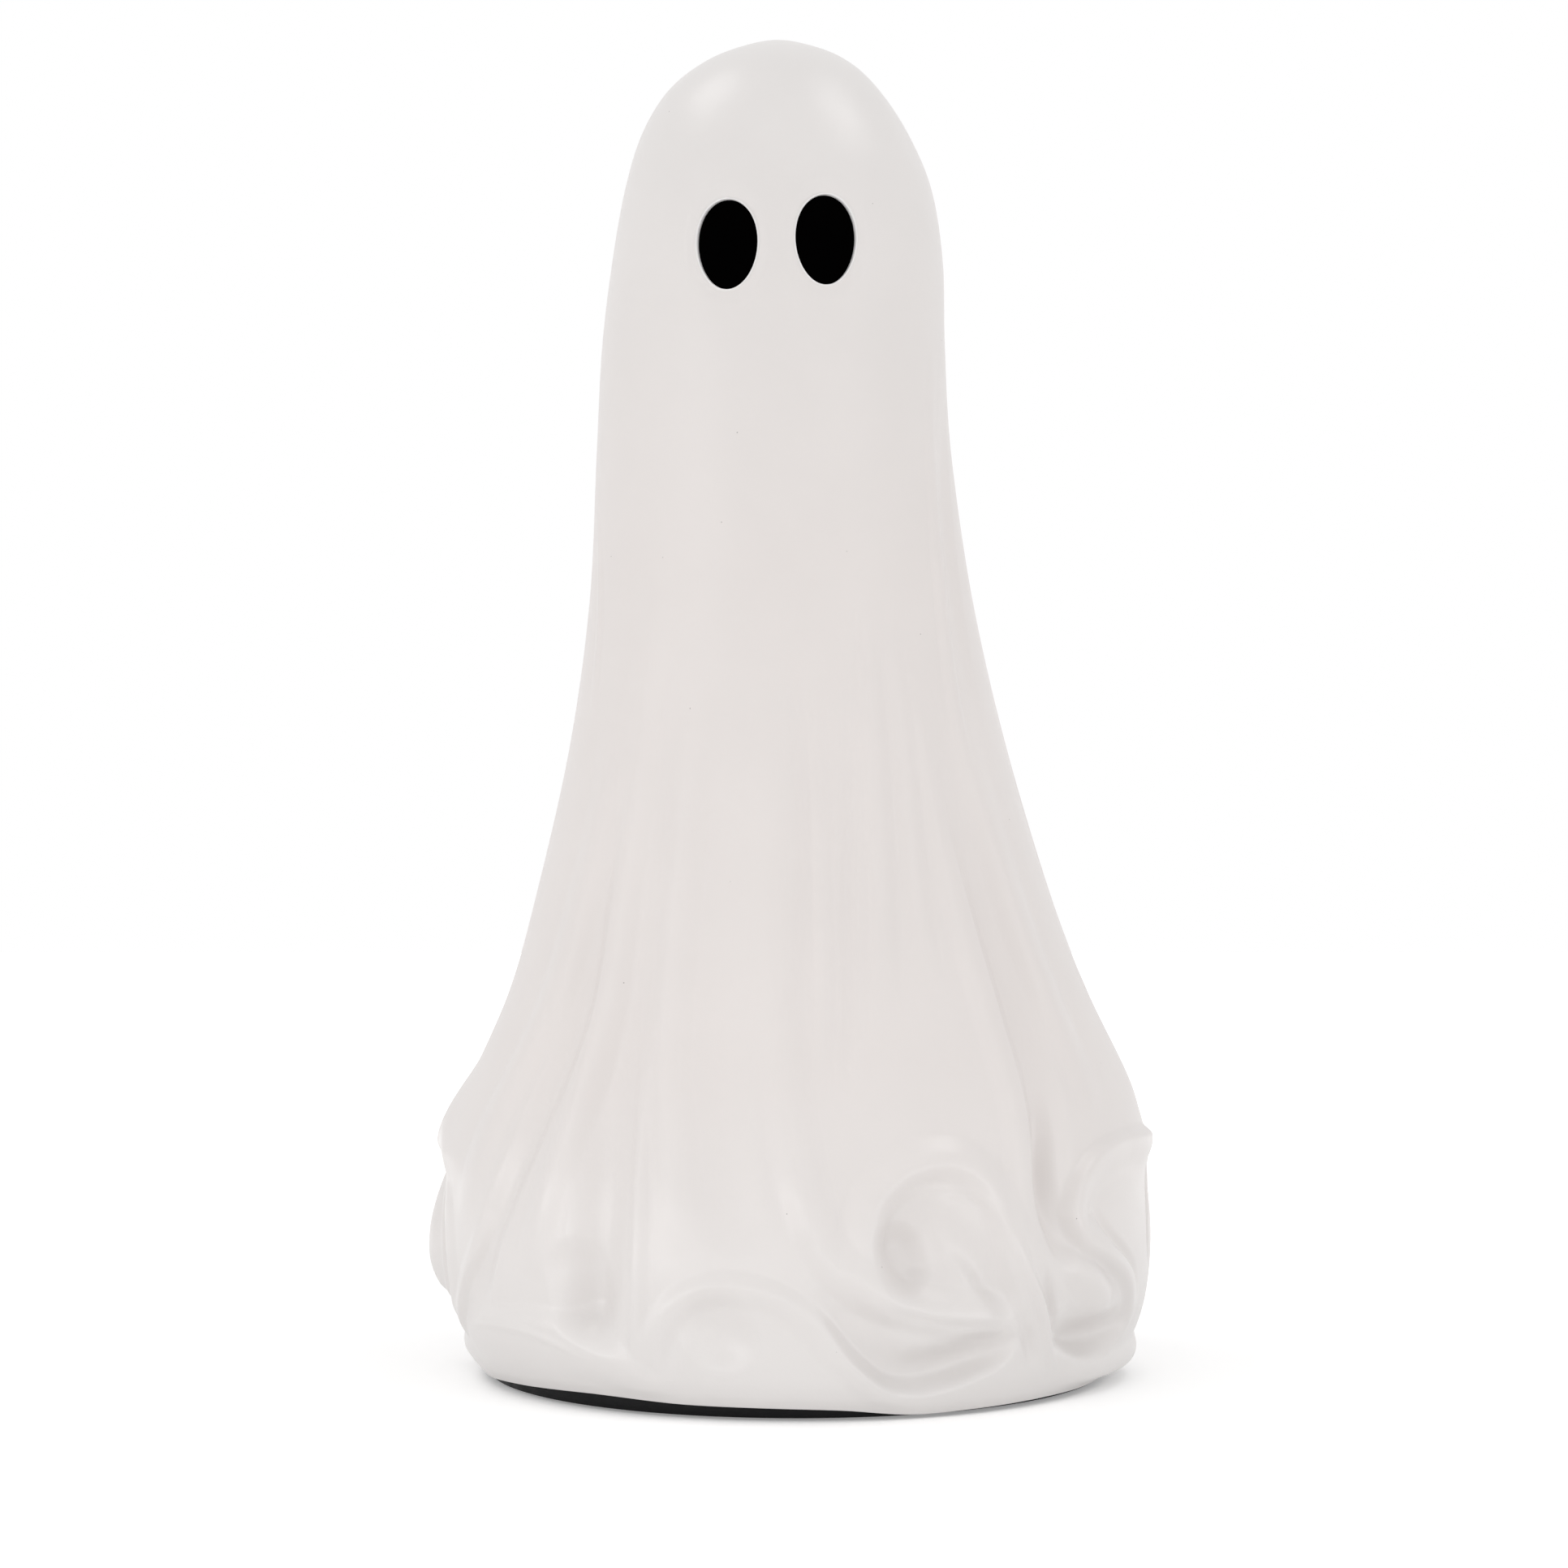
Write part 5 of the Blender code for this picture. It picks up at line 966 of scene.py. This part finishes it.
def make_base(black):
    """The base's tray with softened edges, its posts and bosses, and every hole of the solid."""
    edge = 0.0006
    inside = BASE_RADIUS - BASE_RIM
    profile = (
        (0.0, BASE_BOTTOM),
        (BASE_RADIUS - 2 * edge, BASE_BOTTOM),
        (BASE_RADIUS - edge / 2, BASE_BOTTOM + edge / 2),
        (BASE_RADIUS, BASE_BOTTOM + 2 * edge),
        (BASE_RADIUS, BASE_TOP - edge),
        (BASE_RADIUS - edge / 3, BASE_TOP - edge / 3),
        (BASE_RADIUS - edge, BASE_TOP),
        (inside + edge, BASE_TOP),
        (inside, BASE_TOP - edge),
        (inside, FLOOR_TOP + 2 * edge),
        (inside - edge / 2, FLOOR_TOP + edge / 2),
        (inside - 2 * edge, FLOOR_TOP),
        (0.0, FLOOR_TOP),
    )
    base = lathed("base_tray", profile, (BASE_SHIFT, 0.0, 0.0), BASE_STEPS, black)
    root = FLOOR_TOP - BASE_FLOOR / 5
    post_top = FLOOR_TOP + BOARD_POST_HEIGHT
    bosses = box_screw_places() + switch_screw_places()
    adds = [rod("post", POST_RADIUS, root, BASE_TOP, place) for place in base_screw_places()]
    adds += [rod("boss", BOSS_RADIUS, root, BOSS_TOP, place) for place in bosses]
    adds += [rod("board_post", BOSS_RADIUS, root, post_top, place) for place in board_screw_places()]
    carve(base, adds, "UNION")
    cuts = []
    for place in base_screw_places():
        cuts.append(rod("bore", SCREW_RADIUS + GAP, FLOOR_TOP, BASE_TOP + MM, place))
        cuts.append(rod("head_bore", SCREW_HEAD_RADIUS + GAP, 0.0, HEAD_SEAT + GAP, place))
    pilots = [(place, BOSS_TOP) for place in bosses] + [(place, post_top) for place in board_screw_places()]
    for place, top in pilots:
        cuts.append(rod("pilot", SMALL_SCREW_RADIUS + GAP, top - PILOT_DEPTH, top + MM, place))
    for bearing in FOOT_BEARINGS:
        place = around(FOOT_CIRCLE, bearing)
        cuts.append(rod("foot_seat", FOOT_RADIUS + GAP, 0.0, FOOT_THICKNESS + GAP, place))
    door = (DOOR_HALF_LENGTH + MOVING_GAP, DOOR_HALF_WIDTH + MOVING_GAP)
    floor = (0.0, FLOOR_TOP + MM)
    cuts.append(block("door_opening", (BASE_SHIFT, BOX_PLACE_Y), door, floor, GAP))
    cuts.append(block("knob_slot", SWITCH_PLACE, (SLOT_LENGTH / 2, SLOT_WIDTH / 2), floor, GAP))
    carve(base, cuts)
    settle(base, "figure", "base_black", "base_plate")


def make_feet(rubber):
    """Feet with a rounded edge and a shallow dished ring underneath."""
    soft = 0.0004
    dish = 0.0003
    dish_radius = 0.45 * FOOT_RADIUS
    profile = (
        (0.0, dish),
        (dish_radius, dish),
        (FOOT_RADIUS / 2, 0.0),
        (FOOT_RADIUS - 2 * soft, 0.0),
        (FOOT_RADIUS - soft / 2, soft / 2),
        (FOOT_RADIUS, 2 * soft),
        (FOOT_RADIUS, FOOT_THICKNESS - soft / 2),
        (FOOT_RADIUS - soft / 2, FOOT_THICKNESS),
        (0.0, FOOT_THICKNESS),
    )
    for number, bearing in enumerate(FOOT_BEARINGS, 1):
        place = (*around(FOOT_CIRCLE, bearing), 0.0)
        foot = lathed(f"rubber_foot_{number}", profile, place, FOOT_STEPS, rubber)
        settle(foot, "figure", "rubber", f"foot_{number}")


def make_base_screws(steel):
    """Pan heads with a cross recess, seen in their bores under the base, on threaded shanks."""
    length = FLANGE_TOP + SCREW_PROUD - HEAD_SEAT
    head = HEAD_SEAT - SCREW_HEAD_HEIGHT
    soft = 0.0005
    profile = [
        (0.0, head),
        (SCREW_HEAD_RADIUS - 3 * soft, head),
        (SCREW_HEAD_RADIUS - soft, head + soft / 2),
        (SCREW_HEAD_RADIUS - soft / 4, head + soft),
        (SCREW_HEAD_RADIUS, head + 2 * soft),
        (SCREW_HEAD_RADIUS, HEAD_SEAT),
        (SCREW_RADIUS, HEAD_SEAT),
    ]
    pitch = THREAD_PITCH
    for turn in range(int((length - 2 * pitch) / pitch)):
        height = HEAD_SEAT + (turn + 1) * pitch
        profile += [(SCREW_RADIUS * THREAD_ROOT, height), (SCREW_RADIUS, height + pitch / 2)]
    profile += [(SCREW_RADIUS * 0.5, HEAD_SEAT + length), (0.0, HEAD_SEAT + length)]
    arm = SCREW_HEAD_RADIUS * CROSS_ARM
    half = CROSS_WIDTH / 2
    recess = (head - MM, head + SCREW_HEAD_HEIGHT / 2)
    for number, place in enumerate(base_screw_places(), 1):
        made = lathed(f"pan_screw_{number}", profile, (*place, 0.0), ROD_STEPS, steel)
        first = block("cross_a", place, (arm, half), recess, half / 4)
        second = block("cross_b", place, (half, arm), recess, half / 4)
        carve(made, [first, second])
        settle(made, "figure", "steel", f"base_screw_{number}")


def make_battery_door(black):
    """The door with softened edges, a finger grip of shallow grooves, its two tongues and its latch."""
    x, y = BASE_SHIFT, HINGE_Y
    soft = 0.0001
    half = (DOOR_HALF_LENGTH, DOOR_HALF_WIDTH)
    door = block("battery_door_panel", (x, BOX_PLACE_Y), half, (BASE_BOTTOM, DOOR_TOP), 3 * soft, black)
    lip = FLOOR_TOP + GAP
    core = BASE_BOTTOM + DOOR_THICKNESS / 2
    ledge = DOOR_LEDGE / 4
    adds = []
    for side in (-1, 1):
        middle = x + side * TONGUE_OFFSET
        half = (TONGUE_WIDTH / 2, ledge)
        adds.append(block("tongue_root", (middle, y + ledge), half, (core, lip + TONGUE_THICKNESS), soft))
        half = (TONGUE_WIDTH / 2, (ledge + TONGUE_REACH) / 2)
        place = (middle, y + (ledge - TONGUE_REACH) / 2)
        adds.append(block("tongue", place, half, (lip, lip + TONGUE_THICKNESS), soft))
    place = (x, LATCH_Y - LATCH_THICKNESS / 2)
    half = (LATCH_WIDTH / 2, LATCH_THICKNESS / 2)
    adds.append(block("latch", place, half, (core, DOOR_TOP + LATCH_HEIGHT), 2 * soft))
    carve(door, adds, "UNION")
    grooves = []
    for number in range(GRIP_COUNT):
        place = (x, y + 2 * DOOR_HALF_WIDTH - GRIP_EDGE - GRIP_PITCH * number)
        middle = GRIP_COUNT // 2
        half = (GRIP_HALF_LENGTH + GRIP_STEP * (middle - abs(number - middle)), GRIP_DEPTH)
        grooves.append(block("groove", place, half, (0.0, BASE_BOTTOM + GRIP_DEPTH), 3 * soft))
    carve(door, grooves)
    settle(door, "battery_door", "base_black", "battery_door")


def make_knob(grey):
    """The knob with softened edges and three grip grooves underneath."""
    x = SWITCH_PLACE[0] - KNOB_TRAVEL / 2
    y = SWITCH_PLACE[1]
    soft = 0.0001
    half_x = KNOB_LENGTH / 2
    half_y = KNOB_WIDTH / 2
    bottom = BASE_BOTTOM - KNOB_PROUD
    heights = (bottom, FLOOR_TOP + KNOB_RISE)
    knob = block("slide_knob", (x, y), (half_x, half_y), heights, 2 * soft, grey)
    seat = FLOOR_TOP + MOVING_GAP
    half = (half_x, half_y + KNOB_SHOULDER)
    shoulder = block("knob_shoulder", (x, y), half, (seat, seat + KNOB_SHOULDER_HEIGHT), soft)
    carve(knob, [shoulder], "UNION")
    grooves = []
    for step in (-1, 0, 1):
        place = (x + step * half_x / 2, y)
        heights = (bottom - MM, bottom + 3 * soft)
        grooves.append(block("knob_groove", place, (2 * soft, half_y + MM), heights, soft / 2))
    carve(knob, grooves)
    settle(knob, "switch_knob", "knob_grey", "switch_knob")


def make_batteries(sleeve, band, steel):
    """Cells in a plain sleeve with a plain band, bare metal ends and a raised terminal."""
    soft = 0.0004
    shoulder = CELL_LENGTH - CELL_NUB_LENGTH
    profile = (
        (0.0, 0.0),
        (CELL_RADIUS - 4 * soft, 0.0),
        (CELL_RADIUS - 3 * soft, soft / 2),
        (CELL_RADIUS - 2 * soft, 0.0),
        (CELL_RADIUS - soft / 2, soft / 3),
        (CELL_RADIUS, 2 * soft),
        (CELL_RADIUS, CELL_LENGTH * CELL_BAND_START),
        (CELL_RADIUS, shoulder - 2 * soft),
        (CELL_RADIUS - soft / 2, shoulder - soft / 3),
        (CELL_RADIUS - 2 * soft, shoulder),
        (CELL_RADIUS - 3 * soft, shoulder - soft / 2),
        (CELL_NUB_RADIUS + soft, shoulder - soft / 2),
        (CELL_NUB_RADIUS, shoulder),
        (CELL_NUB_RADIUS, CELL_LENGTH - soft),
        (CELL_NUB_RADIUS - soft / 2, CELL_LENGTH - soft / 4),
        (CELL_NUB_RADIUS - soft, CELL_LENGTH),
        (0.0, CELL_LENGTH),
    )
    used = (2, 2, 0, 0, 0, 0, 1, 1, 1, 1, 2, 2, 2, 2, 2, 2)
    reach = BOX_HALF_LENGTH - CONTACT_GAP - SPRING_LENGTH
    first = BOX_PLACE_Y - (CELL_COUNT - 1) / 2 * CELL_PITCH
    for number in range(CELL_COUNT):
        way = 1 if number % 2 == 0 else -1
        place = (BASE_SHIFT - way * reach, first + number * CELL_PITCH, CELL_HEIGHT)
        name = f"cell_{number + 1}"
        cell = lathed(name, profile, place, CELL_STEPS, sleeve, band, steel, used=used, way=(way, 0.0, 0.0))
        settle(cell, "figure", "cell_sleeve", f"battery_{number + 1}")


class Nodes:
    """Builds a material's nodes in a row."""

    def __init__(self, name):
        self.material = bpy.data.materials.new(name)
        self.material.use_nodes = True
        self.tree = self.material.node_tree
        self.shader = next(node for node in self.tree.nodes if node.type == "BSDF_PRINCIPLED")
        self.place = self.add("ShaderNodeTexCoord").outputs["Object"]

    def add(self, kind, **settings):
        node = self.tree.nodes.new(kind)
        for name, value in settings.items():
            setattr(node, name, value)
        return node

    def link(self, start, end):
        self.tree.links.new(start, end)

    def give(self, source, name):
        """Links a result to one of the shader's sockets."""
        self.link(source, self.shader.inputs[name])

    def noise(self, scale, detail=2.0):
        node = self.add("ShaderNodeTexNoise")
        self.link(self.place, node.inputs["Vector"])
        node.inputs["Scale"].default_value = scale
        node.inputs["Detail"].default_value = detail
        return node.outputs["Fac"]

    def ramp(self, source, *stops):
        """A colour ramp of stops, each a place and a colour."""
        node = self.add("ShaderNodeValToRGB")
        self.link(source, node.inputs["Fac"])
        band = node.color_ramp
        for element, (place, colour) in zip(band.elements, (stops[0], stops[-1])):
            element.position = place
            element.color = (*colour, 1.0)
        for place, colour in stops[1:-1]:
            band.elements.new(place).color = (*colour, 1.0)
        return node.outputs["Color"]

    def span(self, source, low, high, start=NOISE_SPAN[0], end=NOISE_SPAN[1]):
        """Maps a result's start and end to low and high."""
        node = self.add("ShaderNodeMapRange")
        self.link(source, node.inputs["Value"])
        for name, value in (("From Min", start), ("From Max", end), ("To Min", low), ("To Max", high)):
            node.inputs[name].default_value = value
        return node.outputs["Result"]

    def multiply(self, first, second):
        """One colour darkened by another."""
        node = self.add("ShaderNodeMix", data_type="RGBA", blend_type="MULTIPLY")
        colours = [socket for socket in node.inputs if socket.type == "RGBA"]
        node.inputs[0].default_value = 1.0
        self.link(first, colours[0])
        self.link(second, colours[1])
        return [socket for socket in node.outputs if socket.type == "RGBA"][0]

    def bump(self, source, distance, strength=1.0, after=None):
        node = self.add("ShaderNodeBump")
        node.inputs["Strength"].default_value = strength
        node.inputs["Distance"].default_value = distance
        self.link(source, node.inputs["Height"])
        if after is not None:
            self.link(after, node.inputs["Normal"])
        return node.outputs["Normal"]


def plain_finish(name, colour, roughness, grain, metallic=0.0, depth=GRAIN_DEPTH, specular=0.5):
    """A finish with a slight mottle, uneven gloss and fine grain."""
    nodes = Nodes(name)
    dark = [part * (1 - MOTTLE) for part in colour]
    light = [min(1.0, part * (1 + MOTTLE)) for part in colour]
    start, end = MOTTLE_SPAN
    nodes.give(nodes.ramp(nodes.noise(MOTTLE_SCALE, 3.0), (start, dark), (end, light)), "Base Color")
    low, high = roughness * (1 - GLOSS_SPREAD), roughness * (1 + GLOSS_SPREAD)
    uneven = nodes.span(nodes.noise(GLOSS_SCALE), low, high)
    nodes.give(uneven, "Roughness")
    nodes.give(nodes.bump(nodes.noise(grain, 3.0), depth), "Normal")
    nodes.shader.inputs["Metallic"].default_value = metallic
    nodes.shader.inputs["Specular IOR Level"].default_value = specular
    return nodes.material


def white_plastic(name, colour, roughness):
    """Satin white plastic: a faint warm tint by height, orange peel, and a few tiny dark specks."""
    nodes = Nodes(name)
    axes = nodes.add("ShaderNodeSeparateXYZ")
    nodes.link(nodes.place, axes.inputs["Vector"])
    height = nodes.span(axes.outputs["Z"], 0.0, 1.0, 0.0, FIGURE_HEIGHT)
    warm = tuple(part * share for part, share in zip(colour, WARMTH))
    low, high = WARM_SPAN
    tint = nodes.ramp(height, (0.0, colour), (low, warm), (high, warm), (1.0, colour))
    start, end = MOTTLE_SPAN
    mottle = nodes.ramp(nodes.noise(WHITE_MOTTLE_SCALE, 3.0), (start, FAINT_GREY), (end, WHITE))
    cells = nodes.add("ShaderNodeTexVoronoi")
    nodes.link(nodes.place, cells.inputs["Vector"])
    cells.inputs["Scale"].default_value = SPECK_SCALE
    start, end = SPECK_SPAN
    specks = nodes.ramp(cells.outputs["Distance"], (start, SPECK_GREY), (end, WHITE))
    nodes.give(nodes.multiply(nodes.multiply(tint, mottle), specks), "Base Color")
    low, high = roughness * (1 - WHITE_GLOSS_SPREAD), roughness * (1 + WHITE_GLOSS_SPREAD)
    uneven = nodes.span(nodes.noise(WHITE_GLOSS_SCALE), low, high)
    nodes.give(uneven, "Roughness")
    peel = nodes.bump(nodes.noise(PEEL_SCALE, PEEL_DETAIL), PEEL_DEPTH, SOFT_BUMP)
    grain = nodes.bump(nodes.noise(GRAIN_SCALE), GRAIN_DEPTH, SOFT_BUMP, after=peel)
    nodes.give(grain, "Normal")
    nodes.shader.inputs["Specular IOR Level"].default_value = 0.5
    return nodes.material


def dress(finishes):
    """Gives every carried-over node the finish that has its slot's name."""
    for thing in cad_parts.values():
        for slot in thing.material_slots:
            name = slot.material.name.split(".")[0]
            slot.material = finishes.get(name, slot.material)


def lens_finish(name):
    """Slightly milky clear plastic."""
    nodes = Nodes(name)
    start, end = NOISE_SPAN
    nodes.give(nodes.ramp(nodes.noise(LENS_SCALE), (start, LENS_DULL), (end, LENS_CLEAR)), "Base Color")
    nodes.give(nodes.span(nodes.noise(LENS_GLOSS_SCALE), *LENS_ROUGHNESS), "Roughness")
    nodes.shader.inputs["Transmission Weight"].default_value = LENS_CLARITY
    return nodes.material


def make_materials():
    made = {name: white_plastic(name, *row) for name, row in WHITE_FINISHES.items()}
    for name, (colour, roughness, grain, more) in PLAIN_FINISHES.items():
        made[name] = plain_finish(name, colour, roughness, grain, **more)
    made["led_lens"] = lens_finish("led_lens")
    return made


def aim(thing, target):
    thing.rotation_euler = (Vector(target) - thing.location).to_track_quat("-Z", "Y").to_euler()


def lamp(name, place, size, power, target):
    light = bpy.data.lights.new(name, "AREA")
    light.shape = "RECTANGLE"
    light.size, light.size_y = size
    light.energy = power
    made = bpy.data.objects.new(name, light)
    bpy.context.scene.collection.objects.link(made)
    made.location = place
    aim(made, target)


def seen_directly(tree):
    """One where a ray comes straight from the camera, or off or through a clear or polished face."""
    rays = tree.nodes.new("ShaderNodeLightPath")
    total = None
    for kind in ("Is Camera Ray", "Is Glossy Ray", "Is Transmission Ray"):
        if total is None:
            total = rays.outputs[kind]
            continue
        most = tree.nodes.new("ShaderNodeMath")
        most.operation = "MAXIMUM"
        tree.links.new(total, most.inputs[0])
        tree.links.new(rays.outputs[kind], most.inputs[1])
        total = most.outputs[0]
    return total


def make_world():
    """A white surround: plain white where it is seen, and softer as light."""
    world = bpy.data.worlds.new("studio")
    bpy.context.scene.world = world
    world.use_nodes = True
    tree = world.node_tree
    tree.nodes.clear()
    mixed = tree.nodes.new("ShaderNodeMixShader")
    tree.links.new(seen_directly(tree), mixed.inputs["Fac"])
    for number, strength in enumerate((WORLD_LIGHT, 1.0), 1):
        part = tree.nodes.new("ShaderNodeBackground")
        part.inputs["Color"].default_value = (*WHITE, 1.0)
        part.inputs["Strength"].default_value = strength
        tree.links.new(part.outputs["Background"], mixed.inputs[number])
    end = tree.nodes.new("ShaderNodeOutputWorld")
    tree.links.new(mixed.outputs["Shader"], end.inputs["Surface"])


def make_floor():
    """A pale floor of square tiles, which brightens away from the figure where it is seen."""
    steps = np.linspace(-FLOOR_REACH, FLOOR_REACH, FLOOR_TILES + 1)
    points = [(x, y, 0.0) for y in steps for x in steps]
    faces = []
    for row in range(FLOOR_TILES):
        for column in range(FLOOR_TILES):
            corner = row * len(steps) + column
            after = corner + len(steps)
            faces.append((corner, corner + 1, after + 1, after))
    floor_mesh = bpy.data.meshes.new("floor")
    floor_mesh.from_pydata(points, [], faces)
    nodes = Nodes("floor_white")
    start, end = NOISE_SPAN
    nodes.give(nodes.ramp(nodes.noise(FLOOR_SCALE), (start, FLOOR_DULL), (end, FLOOR_PALE)), "Base Color")
    nodes.shader.inputs["Roughness"].default_value = FLOOR_ROUGHNESS
    nodes.shader.inputs["Specular IOR Level"].default_value = 0.0
    nodes.shader.inputs["Emission Color"].default_value = (*WHITE, 1.0)
    away = nodes.add("ShaderNodeVectorMath", operation="LENGTH")
    nodes.link(nodes.place, away.inputs[0])
    glow = nodes.add("ShaderNodeMath", operation="MULTIPLY")
    nodes.link(seen_directly(nodes.tree), glow.inputs[0])
    nodes.link(nodes.span(away.outputs["Value"], FLOOR_GLOW, FAR_GLOW, *FLOOR_FADE), glow.inputs[1])
    nodes.give(glow.outputs[0], "Emission Strength")
    floor = new_object("floor", floor_mesh, nodes.material)


def make_camera():
    camera = bpy.data.cameras.new("camera")
    camera.lens = CAMERA_LENS
    camera.sensor_width = CAMERA_SENSOR
    made = bpy.data.objects.new("camera", camera)
    bpy.context.scene.collection.objects.link(made)
    made.location = CAMERA_PLACE
    aim(made, CAMERA_AIM)
    bpy.context.scene.camera = made


def main():
    scene = bpy.context.scene
    scene.view_settings.view_transform = "Standard"
    finishes = make_materials()
    make_shell(finishes["shell_white"], finishes["painted_highlight_white"])
    make_eyes(finishes["eye_black"])
    make_base(finishes["base_black"])
    make_feet(finishes["rubber"])
    make_base_screws(finishes["steel"])
    make_battery_door(finishes["base_black"])
    make_knob(finishes["knob_grey"])
    make_batteries(finishes["cell_sleeve"], finishes["cell_band"], finishes["steel"])
    dress(finishes)
    make_world()
    make_floor()
    for row in LAMPS:
        lamp(*row)
    make_camera()


main()
